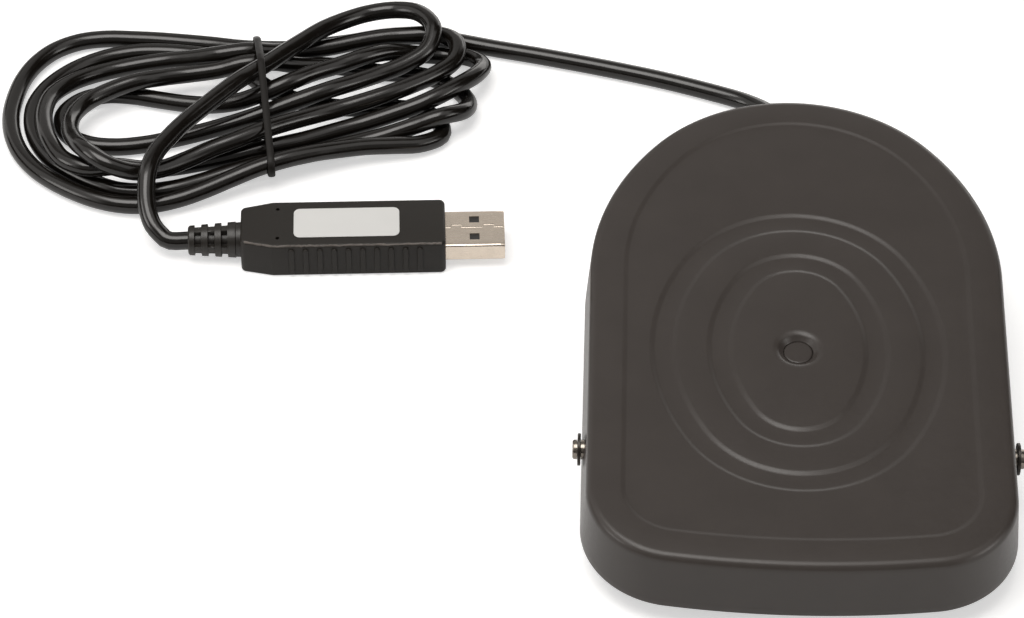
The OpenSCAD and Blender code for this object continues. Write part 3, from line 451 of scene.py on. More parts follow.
def treadle_part():
    """The pressed cover as rows from the stud out to the border, round the edge, down the skirt and back
    along the underside. A ring is four arcs with parallel offsets; its groove, the panel step and the
    dimple fall by an eased step; the skirt's lower edge rises to the cord notch behind."""
    s = kinds("pedal_treadle")
    plan = outline(0, s)
    a = np.arctan2(plan[:, 1] - s["ring_y"], plan[:, 0])
    c, n = np.cos(a), np.sin(a)
    end_y, side_x = 12.0, 18.8
    rings, floor, slope = (13.3, 25.5), 1.6, 1.5
    reach, split = np.hypot(side_x, end_y), np.cos(np.arctan2(end_y, side_x))
    on_side = np.abs(c) > split

    def oval(r, z):
        radius = np.where(on_side, r + reach, r)
        x = np.where(on_side, -np.sign(c) * side_x, 0) + radius * c
        y = s["ring_y"] + np.where(on_side, 0, np.sign(n) * end_y) + radius * n
        return np.stack([x, y, np.full_like(x, z)], -1)

    def circle(r, z):
        return np.stack([r * c, s["ring_y"] + r * n, np.full_like(c, z)], -1)

    def edge(d, z):
        return np.column_stack([outline(d, s), np.broadcast_to(z, len(plan))])

    panel = -s["drop"]
    bottom = -s["dimple"]
    wall = np.linspace(0, 1, 9)

    def face(down):
        rows = [circle(r, bottom - down) for r in (0.4, 1.6, 3.18)]
        rows += [circle(r, panel - down - k) for r, k in DIMPLE]
        for r in rings:
            rows += [oval(r - (floor + slope) + slope * w, panel - down - s["groove"] * ease(w))
                     for w in wall]
            rows += [oval(r, panel - down - s["groove"])]
            rows += [oval(r + floor + slope * w, panel - down - s["groove"] * ease(1 - w)) for w in wall]
        rows += [edge(-s["border"] - s["step"] - 1.5, panel - down)]
        rows += [edge(-s["border"] - s["step"] * (1 - w), panel * ease(1 - w) - down) for w in wall]
        return rows

    def bend(r, angles):
        return [edge(r * np.sin(k) - s["edge_r"], r * np.cos(k) - s["edge_r"]) for k in angles]

    notch_high, notch_half, notch_soft = 8.5, 6.6, 1.2
    notch = notch_high * ease((notch_half - np.abs(plan[:, 0])) / notch_soft) * (plan[:, 1] > s["ring_y"])
    low = -s["skirt"] + notch
    lean, lip = np.tan(s["lean"]), 0.35

    def skirt(share, inner):
        z = -s["edge_r"] + (low + lip + s["edge_r"]) * share
        rows = np.column_stack([outline(-inner, s), z])
        shift = (-z - s["edge_r"]) * lean
        way = np.column_stack([outline(1, s) - outline(0, s), np.zeros(len(plan))])
        return rows + way * shift[:, None]

    def hem(k):
        rim = skirt(1, s["sheet"] / 2)
        way = np.column_stack([outline(1, s) - outline(0, s), np.zeros(len(plan))])
        across = np.sign(np.cos(k)) * (s["sheet"] / 2 - lip + lip * abs(np.cos(k)))
        return rim + way * across - np.array([0, 0, lip * np.sin(k)])

    rows = face(0) + [edge(-s["border"] + 2, 0)] + bend(s["edge_r"], np.linspace(0, np.pi / 2, 9))
    rows += [skirt(w, 0) for w in np.linspace(0.12, 1, 8)]
    rows += [hem(k) for k in np.radians([20, 40, 60, 75, 90, 105, 120, 140, 160])]
    rows += [skirt(w, s["sheet"]) for w in np.linspace(1, 0.1, 6)]
    rows += bend(s["edge_r"] - s["sheet"], np.linspace(np.pi / 2, 0, 5)) + face(s["sheet"])[::-1]
    return moved(loft(np.stack(rows)), on_treadle)


def base_part():
    """The base pan as rows from the middle of its inner floor, up the inner wall, over the rim and down
    outside to the underside; the two bends are quarter turns about one centre line."""
    s = kinds("pedal_treadle")
    inset, t, r, foot = s["sheet"] + WALL_GAP, 1.2, 3.0, 2.5
    rim_y = -s["axle_in"] + inset
    rim = s["axle_z"] + rim_y * np.sin(s["tilt"]) + (s["axle_drop"] - s["sheet"]) * np.cos(s["tilt"]) - 0.3
    n = len(outline(0, s))

    def edge(d, z):
        return np.column_stack([outline(d, s), np.full(n, z)])

    def bend(radius, angles):
        return [edge(radius * np.sin(k) - inset - r, foot + r - radius * np.cos(k)) for k in angles]

    quarter = np.linspace(0, np.pi / 2, 8)
    rows = bend(r - t, quarter) + [edge(-inset - t, rim - 0.25), edge(-inset - t + 0.1, rim - 0.07)]
    rows += [edge(-inset - t + 0.3, rim), edge(-inset - 0.3, rim), edge(-inset - 0.1, rim - 0.07)]
    rows += [edge(-inset, rim - 0.25)] + bend(r, quarter[::-1])
    points, faces = loft(np.stack(rows))
    return points + np.array([0, axle_y(s), 0]), faces


# Points in millimetres that the cord passes: on its way to the hank, round the hank five times, and on to
# the plug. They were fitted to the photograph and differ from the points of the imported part.
LEAD = [(-0.2, 79.4, 8.3), (-0.9, 86.7, 6.8), (-3.2, 92.2, 4.3), (-7.3, 97, 2.8), (-13.2, 100.6, 2.2),
        (-27.8, 106.1, 2.1), (-43.1, 110.6, 2.1), (-58.3, 114.5, 2.1), (-68.7, 116.9, 2.1)]
HANK = [(-85, 120.9, 2.1), (-91.6, 120.8, 2.1), (-98.1, 119.7, 2.1), (-104.5, 118.1, 2.1),
        (-111, 116.5, 2.2), (-117.3, 114.8, 2.5), (-123.8, 113.6, 3.2), (-130.4, 114.1, 3),
        (-136.8, 115.6, 2.5), (-143.3, 116.7, 2.2), (-149.9, 117.4, 2.1), (-156.5, 117.7, 2.1),
        (-163.1, 117.7, 2.1), (-169.5, 116.3, 2.1), (-175.1, 112.8, 2.1), (-179.1, 107.5, 2.1),
        (-181.5, 101.4, 2.1), (-182.6, 94.9, 2.1), (-182.8, 88.3, 2.1), (-181.7, 81.8, 2.1),
        (-179.3, 75.6, 2.1), (-175.6, 70.1, 2.1), (-170.9, 65.6, 2.2), (-165.4, 61.8, 2.3),
        (-159.5, 58.8, 2.4), (-153.2, 57.1, 2.5), (-146.6, 57.1, 2.7), (-140.2, 58.8, 3.2),
        (-134.2, 61.5, 3.9), (-128.4, 64.5, 4.8), (-122.5, 67.3, 5.8), (-116.4, 69.8, 6.3),
        (-110.3, 72.5, 6), (-104.3, 75, 5.2), (-98, 77.1, 4.5), (-91.6, 78.6, 3.7), (-85.4, 80.4, 2.8),
        (-80.6, 84.7, 2.1), (-82.5, 90.7, 2.1), (-88.3, 93.5, 2.1), (-94.9, 94, 2.1), (-101.5, 93.7, 2.1),
        (-108.1, 93.9, 2.2), (-114.6, 95.2, 2.5), (-120.7, 97.6, 3.1), (-125.7, 101.9, 3.2),
        (-129.8, 107.1, 3), (-135.5, 110.2, 3), (-142, 111.6, 2.9), (-148.5, 112.4, 2.7),
        (-155.1, 112.4, 2.4), (-161.5, 110.8, 2.2), (-167.3, 107.6, 2.1), (-172.1, 103.2, 2.1),
        (-175.8, 97.7, 2.1), (-177.7, 91.4, 2.1), (-177.3, 84.8, 2.1), (-175.2, 78.6, 2.1),
        (-171.6, 73, 2.1), (-166.6, 68.6, 2.1), (-161.1, 65.1, 2.1), (-155, 62.5, 2.1),
        (-148.4, 62.1, 2.1), (-141.9, 63.4, 2.1), (-135.8, 65.9, 2.2), (-129.8, 68.7, 2.6),
        (-123.7, 71.2, 3.1), (-117.5, 73.4, 3.1), (-111.5, 76.1, 2.6), (-105.5, 78.8, 2.3),
        (-99.3, 81.3, 2.3), (-93.1, 83.2, 3.1), (-86.8, 84.4, 5), (-80.7, 85.8, 6.8), (-75.8, 89.8, 5.2),
        (-74.8, 95.8, 2.7), (-77.9, 101.4, 2.1), (-83.4, 105.1, 2.1), (-89.8, 106.7, 2.2),
        (-96.4, 107.1, 2.1), (-102.9, 108.1, 2.4), (-109.4, 107.5, 3.5), (-115.6, 105.8, 4.9),
        (-121.7, 104.1, 7.1), (-128, 102.4, 8), (-134.4, 101.5, 6.5), (-140.9, 100.7, 5.8),
        (-147.3, 98.9, 6.1), (-153.2, 96.2, 6.9), (-159.2, 93.3, 6.5), (-164.4, 89.3, 6.1),
        (-167.2, 83.5, 6.7), (-167.2, 77, 8), (-165.3, 71, 9.9), (-162, 65.5, 11.6), (-156.7, 61.9, 10.6),
        (-150.6, 62.2, 8.2), (-144.7, 64.8, 6.9), (-139.2, 68.4, 6.7), (-133.6, 71.9, 7.2),
        (-127.7, 74.8, 7.8), (-122, 78.2, 8), (-116.7, 82.1, 7.1), (-111.3, 85.7, 6.2),
        (-105.4, 88.7, 5.9), (-99.3, 91.1, 6.4), (-93.2, 93.8, 6.9), (-87.6, 97.3, 7), (-82.4, 101.3, 7),
        (-78.4, 106.5, 7), (-78.4, 112.9, 7.2), (-83.1, 117.1, 6), (-89.7, 117.4, 5.4),
        (-96.2, 116.4, 5.4), (-102.6, 114.7, 5.2), (-108.9, 112.8, 4.9), (-115.3, 111.1, 5.1),
        (-121.6, 109.3, 6.1), (-127.8, 107.5, 7.7), (-134.2, 106.6, 7.2), (-140.6, 107, 5.5),
        (-147.1, 107.5, 4.1), (-153.6, 107.1, 3.1), (-160, 105.4, 2.7), (-165.8, 102.3, 3.1),
        (-170.5, 97.8, 4), (-173.6, 92.1, 5.1), (-174.3, 85.6, 6), (-173.4, 79.1, 6.7),
        (-171.3, 72.9, 7.1), (-167.6, 67.4, 6.9), (-161.7, 64.7, 6.9), (-155.3, 65.9, 6.4),
        (-149.4, 67.9, 4), (-143.3, 70.1, 2.8), (-137.1, 72.3, 2.4), (-130.7, 74.3, 2.6),
        (-124.4, 76.3, 3.1), (-118.2, 78.5, 3.1), (-112.2, 81.3, 2.7), (-106.3, 84.1, 2.7),
        (-100.1, 86.6, 3.1), (-93.9, 88.4, 4.3), (-87.7, 89.9, 6), (-81.8, 92.7, 7.2), (-76.9, 97, 7.3),
        (-73.1, 102.3, 6.1), (-71.9, 108.4, 4), (-75.8, 113.1, 2.4), (-82.3, 113.7, 2.2),
        (-88.6, 112.5, 3.6), (-94.4, 110.2, 5.9), (-100, 106.8, 7.1), (-105.9, 103.7, 6.9),
        (-111.5, 100.4, 7.3), (-116.8, 96.4, 7.7), (-122.7, 93.7, 6.5), (-128.9, 92.6, 4.4),
        (-135.3, 92.7, 3), (-141.8, 93.7, 2.4), (-148.3, 95.1, 2.2), (-154.8, 96.5, 2.1),
        (-161.3, 96.5, 2.2), (-167.2, 93.7, 2.2), (-170.5, 88.1, 2.2), (-168.8, 81.9, 2.1),
        (-163.3, 78.5, 2.1), (-156.8, 77.8, 2.1), (-150.2, 78.9, 2.1), (-143.9, 80.9, 2.2),
        (-137.7, 83.2, 2.4), (-131.6, 85.6, 2.8), (-125.4, 87.8, 3.7), (-119.3, 89.9, 5),
        (-113.1, 91.9, 6.5), (-107.2, 94.7, 7), (-101.6, 98.2, 6.5), (-95.9, 101.5, 6.4),
        (-90.1, 104.7, 6.9), (-85.1, 108.7, 8.2), (-83.9, 114.6, 10.2), (-87.6, 119.9, 10.3),
        (-93.5, 122.6, 8.9), (-100, 121.9, 8.2), (-105.6, 118.6, 8.5), (-110.4, 114, 9.4),
        (-114.5, 108.9, 10.1), (-118.4, 103.6, 10.9), (-122.2, 98.3, 11.7), (-126, 93, 12.8),
        (-129.7, 87.6, 13.7)]
TAIL = [(-138.6, 75.5, 13.6), (-142.6, 68.4, 13.9), (-145.5, 62.1, 13.8), (-146.7, 56.4, 12.9),
        (-146.8, 51.9, 10.8), (-146.3, 48.8, 8.7), (-145, 45.8, 6.8), (-142.9, 43.8, 5.3)]
# Where the tie goes round the hank, and the way the hank lies
HANK_MID = np.array([-122, 84.5, 0])
HANK_TURN = np.radians(8.4)
# The cord end of the boot, and the way the plug lies
PLUG_AT = np.array([-136.6, 42.9, 4.6])
PLUG_TURN = np.radians(3.4)
PLUG_WAY = np.array([np.cos(PLUG_TURN), np.sin(PLUG_TURN), 0])
# Heights of the cord where it leaves the base and where it lies inside
EXIT_Z = 9.0
LAY_Z = 5.83
# Length of the grommet outside the wall
SLEEVE = 4.0


def cord_path():
    """The centre line of the free cord: one curve through the points of the lead, the hank and the tail,
    from inside the grommet to inside the boot, nowhere lower than the ground lets it."""
    thick = kinds("pedal_cord")["thick"]
    out = np.array([0, grommet_end(), EXIT_Z])
    path = even(smooth([out - (0, 2, 0), out, out + (0, thick, 0), *LEAD, *HANK, *TAIL,
                        PLUG_AT - thick * PLUG_WAY,
                        PLUG_AT, PLUG_AT + 1.5 * PLUG_WAY], 24), 1.4)
    return np.column_stack([path[:, :2], np.maximum(path[:, 2], thick / 2)])


def grommet_end():
    """Where the cord leaves the grommet, behind the base wall."""
    s = kinds("pedal_treadle")
    return axle_y(s) + s["long"] - s["axle_in"] - s["sheet"] - WALL_GAP + SLEEVE


def on_plug(p):
    """Points of the plug, along its own X from the cord end of the boot, at its place on the ground."""
    c, n = np.cos(PLUG_TURN), np.sin(PLUG_TURN)
    return np.stack([PLUG_AT[0] + p[:, 0] * c - p[:, 1] * n, PLUG_AT[1] + p[:, 0] * n + p[:, 1] * c,
                     PLUG_AT[2] + p[:, 2]], -1)


def on_axle(p):
    """Points turned from about Z to about the axle, which lies along X."""
    s = kinds("pedal_treadle")
    return np.stack([p[:, 2], axle_y(s) + p[:, 0], s["axle_z"] + p[:, 1]], -1)


def round_corners(corners, radius, inset, n):
    """A convex outline whose corners are arcs: each centre lies the radius inside both edges, and an inset
    shrinks every arc and edge alike."""
    p = np.asarray(corners, float)
    step = np.roll(p, -1, 0) - p
    step /= np.linalg.norm(step, axis=1)[:, None]
    normal = np.stack([step[:, 1], -step[:, 0]], -1)
    before = np.roll(normal, 1, 0)
    centre = p - radius * (before + normal) / (1 + np.sum(before * normal, 1))[:, None]
    a0 = np.arctan2(before[:, 1], before[:, 0])
    a1 = np.arctan2(normal[:, 1], normal[:, 0])
    a = a0[:, None] + ((a1 - a0) % (2 * np.pi))[:, None] * np.linspace(0, 1, n)[None]
    r = radius - inset
    return (centre[:, None] + r * np.stack([np.cos(a), np.sin(a)], -1)).reshape(-1, 2)


def pillow(corners, radius, low, high, edge, n=7):
    """A flat block of that outline with its edges rounded: rows climb from the lower face round a quarter
    turn, up the wall and round to the upper face."""
    k = np.linspace(0, np.pi / 2, 7)
    inset = np.r_[edge * (1 - np.sin(k)), edge * (1 - np.sin(k[::-1]))]
    z = np.r_[low + edge * (1 - np.cos(k)), high - edge * (1 - np.cos(k[::-1]))]
    rows = [np.column_stack([p, np.full(len(p), h)]) for p, h in
            ((round_corners(corners, radius, i, n), h) for i, h in zip(inset, z))]
    return loft(np.stack(rows))


def boot_part():
    """The ringed boot as a radius over length and turn: the cord's radius in the windows, and a growing
    outer radius on the three rings, the collar and the four bridges between them."""
    s = kinds("pedal_plug")
    pitch, ring_w, half, soft = 3.05, 1.6, 0.95, 0.16
    x = np.linspace(0, s["boot"] + 0.4, 250)[:, None]
    a = np.linspace(0, 2 * np.pi, 192, endpoint=False)[None]
    outer = 3.36 + 0.07 * x
    place = np.where(x < 3 * pitch - soft, x % pitch, 0)
    ring = np.maximum(ease((ring_w - place) / soft), ease((place - pitch + soft) / soft))
    off = np.abs((a + np.pi / 4) % (np.pi / 2) - np.pi / 4) * outer
    bridge = 0.86 * ease((half + soft - off) / soft)
    r = 2.15 + (outer - 2.15) * np.maximum(ring, bridge)
    r = r - 0.3 * ease((0.35 - x) / 0.35) - 0.2 * ease((x - 3 * pitch - ring_w) / soft)
    return moved(loft(np.stack([x + 0 * a, r * np.cos(a), r * np.sin(a)], -1)), on_plug)


def lid(ring, rounds, z):
    """A flat face inside a ring with round holes left out: constrained triangles over all the outlines."""
    a = np.linspace(0, 2 * np.pi, 20, endpoint=False)
    loops = [ring, *(np.array((x, y)) + r * np.stack([np.cos(a), np.sin(a)], -1) for x, y, r in rounds)]
    starts = np.cumsum([0, *map(len, loops)])
    edges = [(s + i, s + (i + 1) % len(loop)) for s, loop in zip(starts, loops) for i in range(len(loop))]
    made = delaunay_2d_cdt([Vector(v) for v in np.concatenate(loops).tolist()], edges, [], 1, 1e-6)
    points, faces = np.array(made[0]), np.array(made[2])
    middle = points[faces].mean(1)
    open_at = [np.linalg.norm(middle - (x, y), axis=1) < r for x, y, r in rounds]
    return np.column_stack([points, np.full(len(points), z)]), faces[~np.any(open_at, 0)].tolist()


def cup(x, y, r, top, low):
    """A blind round hole: its wall and its floor."""
    a = np.linspace(0, 2 * np.pi, 20, endpoint=False)
    ring = np.stack([x + r * np.cos(a), y + r * np.sin(a)], -1)
    points = np.concatenate([np.column_stack([ring, np.full(20, z)]) for z in (top, low)])
    return points, grid_faces(2, 20).tolist() + [list(range(20, 40))]


def housing_part():
    """The plug housing: a block with cut rear corners and rounded edges, two small blind holes in its upper
    face, and upright ribs with round ends along both sides."""
    s = kinds("pedal_plug")
    x0, x1, w, h = s["boot"], s["boot"] + s["long"], s["wide"] / 2, s["high"] / 2
    plan = [(x0, -5.9), (x0 + 7.2, -w), (x1, -w), (x1, w), (x0 + 7.2, w), (x0, 5.9)]
    block, faces = pillow(plan, 1.3, -h, h, 0.75)
    n = len(faces[-1])
    holes = [(x0 + 8.45, y, 0.45) for y in (-4.9, 4.9)]
    parts = [(block, faces[:-1]), lid(block[-n:, :2], holes, h),
             *(cup(*hole, h, h - 0.8) for hole in holes)]
    for k in range(10):
        x = x0 + 11.6 + 3.23 * k
        for side in (-1, 1):
            rib = [(x - 0.62, 0.75 - h), (x + 0.62, 0.75 - h), (x + 0.62, h - 0.95), (x - 0.62, h - 0.95)]
            bar, bar_faces = pillow(rib, 0.61, -0.6, 0.46, 0.24)
            parts.append((np.stack([bar[:, 0], side * (w + bar[:, 2]), bar[:, 1]], -1), bar_faces))
    return moved(joined(*parts), on_plug)


def walled(outer, inner, faces):
    """A sheet with a thickness: its faces on both sides, and a wall along every edge that only one face
    has."""
    n = len(outer)
    pairs = np.stack([faces, np.roll(faces, -1, 1)], -1).reshape(-1, 2)
    _, first, count = np.unique(np.sort(pairs, 1) @ np.array([n, 1]), return_index=True, return_counts=True)
    rim = pairs[first[count == 1]]
    walls = np.column_stack([rim[:, ::-1], rim + n])
    return np.concatenate([outer, inner]), np.concatenate([faces, faces[:, ::-1] + n, walls]).tolist()


def shell_part():
    """The metal shell as one strip bent round: rows along the plug, points round a rounded oblong, which an
    inset carries to the inner face; the squares over the four latch holes are left out."""
    s = kinds("pedal_plug")
    x0 = s["boot"] + s["long"] - 0.4
    tip = s["boot"] + s["long"] + s["shell"]
    w, h = s["shell_wide"] / 2, s["shell_high"] / 2
    cuts = np.array([-3.95, -1.85, 1.85, 3.95])
    x = np.r_[np.linspace(x0, tip - 8, 5), np.linspace(tip - 5.75, tip - 0.3, 5), tip - 0.08, tip]
    pinch = np.r_[np.zeros(len(x) - 2), 0.06, 0.2]

    def strip(inset):
        ring = round_corners([(-w, -h), (w, -h), (w, h), (-w, h)], 0.6, inset, 7)
        low = np.column_stack([cuts, np.full(4, inset - h)])
        ring = np.concatenate([ring[:7], low, ring[7:21], -low, ring[21:]])
        return np.concatenate([np.column_stack([np.full(len(ring), v), ring * (1 - e / np.array([w, h]))])
                               for v, e in zip(x, pinch)])

    outer = strip(0)
    faces = grid_faces(len(x), len(outer) // len(x))
    middle = outer[faces].mean(1)
    hole = (np.abs(middle[:, 0] - tip + 6.875) < 1.1) & (np.abs(np.abs(middle[:, 1]) - 2.9) < 1.0)
    hole &= np.abs(middle[:, 2]) > h - 0.01
    return moved(walled(outer, strip(s["shell_sheet"]), faces[~hole]), on_plug)


def seam_part(back, half_w, half_h):
    """The closed seam of the shell: a hair line with two tabs on its upper face, carried as a thin ribbon
    set back from the line."""
    s = kinds("pedal_plug")
    x0 = s["boot"] + s["long"]
    line = np.array([(0.1, 0.3), (1.3, 0.3), (1.4, 1.15), (3.6, 1.15), (3.7, 0.3), (8.5, 0.3), (8.6, 1.15),
                     (11, 1.15),
                     (11.1, 0.3), (13.2, 0.3)])
    path = np.column_stack([x0 + line[:, 0], line[:, 1] + back, np.full(len(line), s["shell_high"] / 2)])
    return moved(along(even(path, 0.1), 8, half_w, half_h), on_plug)


def flash_part():
    """The trimmed flash on the upper front edge of the housing: a bead along the middle of the rounded edge
    whose width and height wander between random values set at even steps; its pale finish is partly worn
    flash and partly a painted highlight."""
    s = kinds("pedal_plug")
    x0, x1, w, h = s["boot"], s["boot"] + s["long"], s["wide"] / 2, s["high"] / 2
    line = np.array([(x0 + 0.9, -5.75, h - 0.3), (x0 + 7.3, 0.3 - w, h - 0.26),
                     (x1 - 0.9, 0.3 - w, h - 0.26)])
    path = even(line, 0.12)
    n = np.arange(len(path))
    chance = np.random.default_rng(5)
    wide, high, shift = (np.interp(n, n[::5], chance.uniform(0, 1, len(n[::5]))) for _ in range(3))
    path = path + np.column_stack([0 * n, 0.14 * (shift - 0.5), 0.1 * (high - 0.5)])
    return moved(along(path, 12, (0.2 + 0.14 * wide)[:, None, None], (0.18 + 0.12 * high)[:, None, None]),
                 on_plug)


def label_part():
    """The blank label: a thin film with rounded corners on the upper face of the housing."""
    s = kinds("pedal_plug")
    x, w = s["boot"] + 12.1, s["label_wide"] / 2
    plan = [(x, -w), (x + s["label"], -w), (x + s["label"], w), (x, w)]
    return moved(pillow(plan, 1.5, s["high"] / 2 - 0.02, s["high"] / 2 + 0.12, 0.05, n=12), on_plug)


def tie_part():
    """The tie: a thin oval strip carried round the strands of the hank. They are found where the cord
    crosses two planes a strip's width apart, and the strip follows the outline of discs on them: at each
    direction, the disc that reaches furthest."""
    s = kinds("pedal_cord")
    u = np.array([np.cos(HANK_TURN), np.sin(HANK_TURN), 0])
    v = np.array([-u[1], u[0], 0])
    line = cord_path() - HANK_MID
    half_wide, half_thick, clear = 0.85, 0.36, 0.6
    d = line @ u - np.array([[-half_wide], [half_wide]])
    j, k = np.nonzero(d[:, :-1] * d[:, 1:] < 0)
    at = line[k] + (d[j, k] / (d[j, k] - d[j, k + 1]))[:, None] * (line[k + 1] - line[k])
    strands = np.column_stack([at @ v, at[:, 2]])
    a = np.linspace(0, 2 * np.pi, 480, endpoint=False)
    way = np.stack([np.cos(a), np.sin(a)], -1)
    rim = strands[np.argmax(way @ strands.T, 1)] + (s["thick"] / 2 + clear) * way
    rim = even(np.concatenate([rim, rim[:1]]), 0.5)[:-1]
    path = HANK_MID + rim[:, :1] * v + rim[:, 1:] * np.array([0, 0, 1.0])
    return along(path, 12, half_thick, half_wide, flat=u, close=True)


def spring_part(x):
    """A return spring: a wire carried along a helix whose end turns are closed."""
    floor, wire, mean, turns, top, y = 3.7, 1.3, 9.5, 6, 24.68, 36
    n = np.linspace(0, turns, 40 * turns + 1)
    closed = wire + 0.15
    pitch = (top - floor - wire - 2 * closed) / (turns - 2)
    open_high = (turns - 2) * pitch
    rise = np.interp(n, [0, 1, turns - 1, turns], [0, closed, closed + open_high, 2 * closed + open_high])
    a = 2 * np.pi * n
    path = np.stack([x + mean / 2 * np.cos(a), y + mean / 2 * np.sin(a), floor + wire / 2 + 0.02 + rise],
                    -1)
    return along(path, 12, wire / 2, wire / 2)


def clip_part(side):
    """A retaining clip: a plate bent round the axle groove over most of a turn, whose inner edge comes in
    to the groove on three tabs; its section is a small oblong with eased corners."""
    a = np.radians(np.linspace(-50, 230, 181))
    deg = np.degrees(a)
    tab = ease((np.abs(deg - 90) - 40) / 10) * ease((88 - np.abs(deg - 90)) / 10)
    inner, outer = 1.66 + 0.75 * tab, 3.45
    t, e = 0.35, 0.1
    section = np.array([(0, -t + e), (e, -t), (1 - e, -t), (1, -t + e), (1, t - e), (1 - e, t), (e, t),
                        (0, t - e)])
    r = inner[:, None] + (outer - inner)[:, None] * section[None, :, 0]
    z = np.broadcast_to(section[None, :, 1], r.shape) + side * (CLIP_GROOVE + SEAT_GAP + t)
    return moved(loft(np.stack([r * np.cos(a)[:, None], r * np.sin(a)[:, None], z], -1)), on_axle)


def axle_part():
    """The axle: a turned pin with a groove for each clip and eased ends."""
    s = kinds("pedal_treadle")
    r, end, g = s["axle_d"] / 2, 47.95, CLIP_GROOVE
    half = np.array([(r, 0), (r, g), (1.6, g), (1.6, g + 0.76), (r, g + 0.76), (r, end - 0.4),
                     (r - 0.15, end - 0.1),
                     (r - 0.4, end), (0.01, end)])
    profile = np.concatenate([half[::-1] * (1, -1), half[1:]])
    return moved(revolve(profile, 64), on_axle)


def stud_part():
    """The press stud: a flat head with an eased rim in the dimple, a shank, and a tail under the sheet."""
    s = kinds("pedal_treadle")
    top, under = 0.55 - s["dimple"], -s["dimple"]
    profile = np.array([(0.01, top), (2.75, top), (3.0, top - 0.08), (3.15, top - 0.3),
                        (3.15, under - 0.02),
                        (1.5, under - 0.02), (1.5, under - s["sheet"]), (2.3, under - s["sheet"]),
                        (1.8, under - s["sheet"] - 0.65), (0.01, under - s["sheet"] - 0.65)])
    points, faces = revolve(rounded(profile, 0.12, 4), 96)
    return moved((points + np.array([0, s["ring_y"], 0]), faces), on_treadle)


def foot_part(x, y):
    """A rubber foot: a low disc with a rounded lower edge."""
    profile = [(0.01, 0), (5.9, 0), (7, 1.0), (7, 2.5), (0.01, 2.5)]
    points, faces = revolve(rounded(profile, 0.7, 6), 72)
    return points + np.array([x, y, 0]), faces


def grommet_part():
    """The grommet: flanges on both sides of the base wall and a tapering sleeve round the cord."""
    profile = [(2.13, -4.2), (4.4, -4.2), (4.7, -3.8), (4.7, -1.75), (4.2, -1.75), (4.2, 0.03), (5, 0.03),
               (5, 1),
               (4.6, 1.5), (3.6, 1.5), (3.1, SLEEVE), (2.13, SLEEVE), (2.13, -4.2)]
    ring = rounded(profile, 0.3, 4)
    a = np.linspace(0, 2 * np.pi, 72, endpoint=False)
    r, y = ring[:, 0, None], ring[:, 1, None]
    points = np.stack([r * np.cos(a), grommet_end() - SLEEVE + y + 0 * a, EXIT_Z + r * np.sin(a)], -1)
    return points.reshape(-1, 3), grid_faces(len(ring), 72).tolist()


# The camera: sensor and lens in millimetres, and its place in metres from a fit to the photograph
SENSOR, LENS = 36, 140.625
CAMERA_PLACE = ((0.999569, -0.02147, 0.020021, -0.04439), (0.029285, 0.681684, -0.73106, -0.63143),
                (0.002048, 0.731332, 0.682019, 0.61452), (0, 0, 0, 1))
# Cards round the pedal that the camera doesn't see: name, glow, and corners in metres
CARDS = (("right flag", 0.02,
          [(0.62, 0.0, 0.02), (0.62, 0.8, 0.02), (0.55, 0.7, 0.75), (0.55, 0.0, 0.75)]),
         ("upper right flag", 0.02,
          [(0.14, 0.68, 0.62), (0.7, 0.68, 0.62), (0.7, 0.4, 1.15), (0.1, 0.4, 1.15)]),
         ("left flag", 0.02,
          [(-1.4, -1.5, 0.02), (-1.4, 0.8, 0.02), (-1.4, 0.8, 0.42), (-1.4, -1.5, 0.42)]),
         ("front flag", 0.02,
          [(-1.4, -1.5, 0.02), (1.4, -1.5, 0.02), (1.4, -1.5, 0.5), (-1.4, -1.5, 0.5)]),
         ("rear flag", 0.02,
          [(-1.4, 1.25, 0.02), (-0.1, 1.25, 0.02), (-0.1, 1.25, 0.4), (-1.4, 1.25, 0.4)]),
         ("rear board", 0.55,
          [(-1.3, 1.2, 0.45), (0.9, 1.2, 0.45), (0.9, 0.9, 1.05), (-1.3, 0.9, 1.05)]),
         ("upper board", 0.22,
          [(-1.3, 0.9, 1.05), (0.9, 0.9, 1.05), (0.9, 0.7, 1.45), (-1.3, 0.7, 1.45)]),
         ("rear strip", 2.2,
          [(-0.1, 1.25, 0.05), (1.2, 1.25, 0.05), (1.2, 1.25, 0.42), (-0.1, 1.25, 0.42)]),
         ("front board", 0.25,
          [(-1.4, -1.5, 0.5), (1.4, -1.5, 0.5), (1.2, -0.7, 1.6), (-1.2, -0.7, 1.6)]))
# Square lamps: name, place, aim, size and power
LAMPS = (("overhead softbox", (-0.28, -0.15, 1.2), (-0.05, 0.0, 0), 0.8, 9.0),
         ("left fill", (-1.25, -0.4, 0.5), (0, 0, 0), 0.5, 2.4),
         ("right fill", (1.25, -0.5, 0.5), (0, 0, 0), 0.5, 2.6))


def board(name, corners):
    """A flat stage piece of four corners."""
    mesh = bpy.data.meshes.new(name)
    mesh.from_pydata(corners, [], [(0, 1, 2, 3)])
    return placed(name, mesh)


def bare_tree(data):
    """The emptied node tree of a new material or world."""
    data.use_nodes = True
    data.node_tree.nodes.clear()
    return data.node_tree


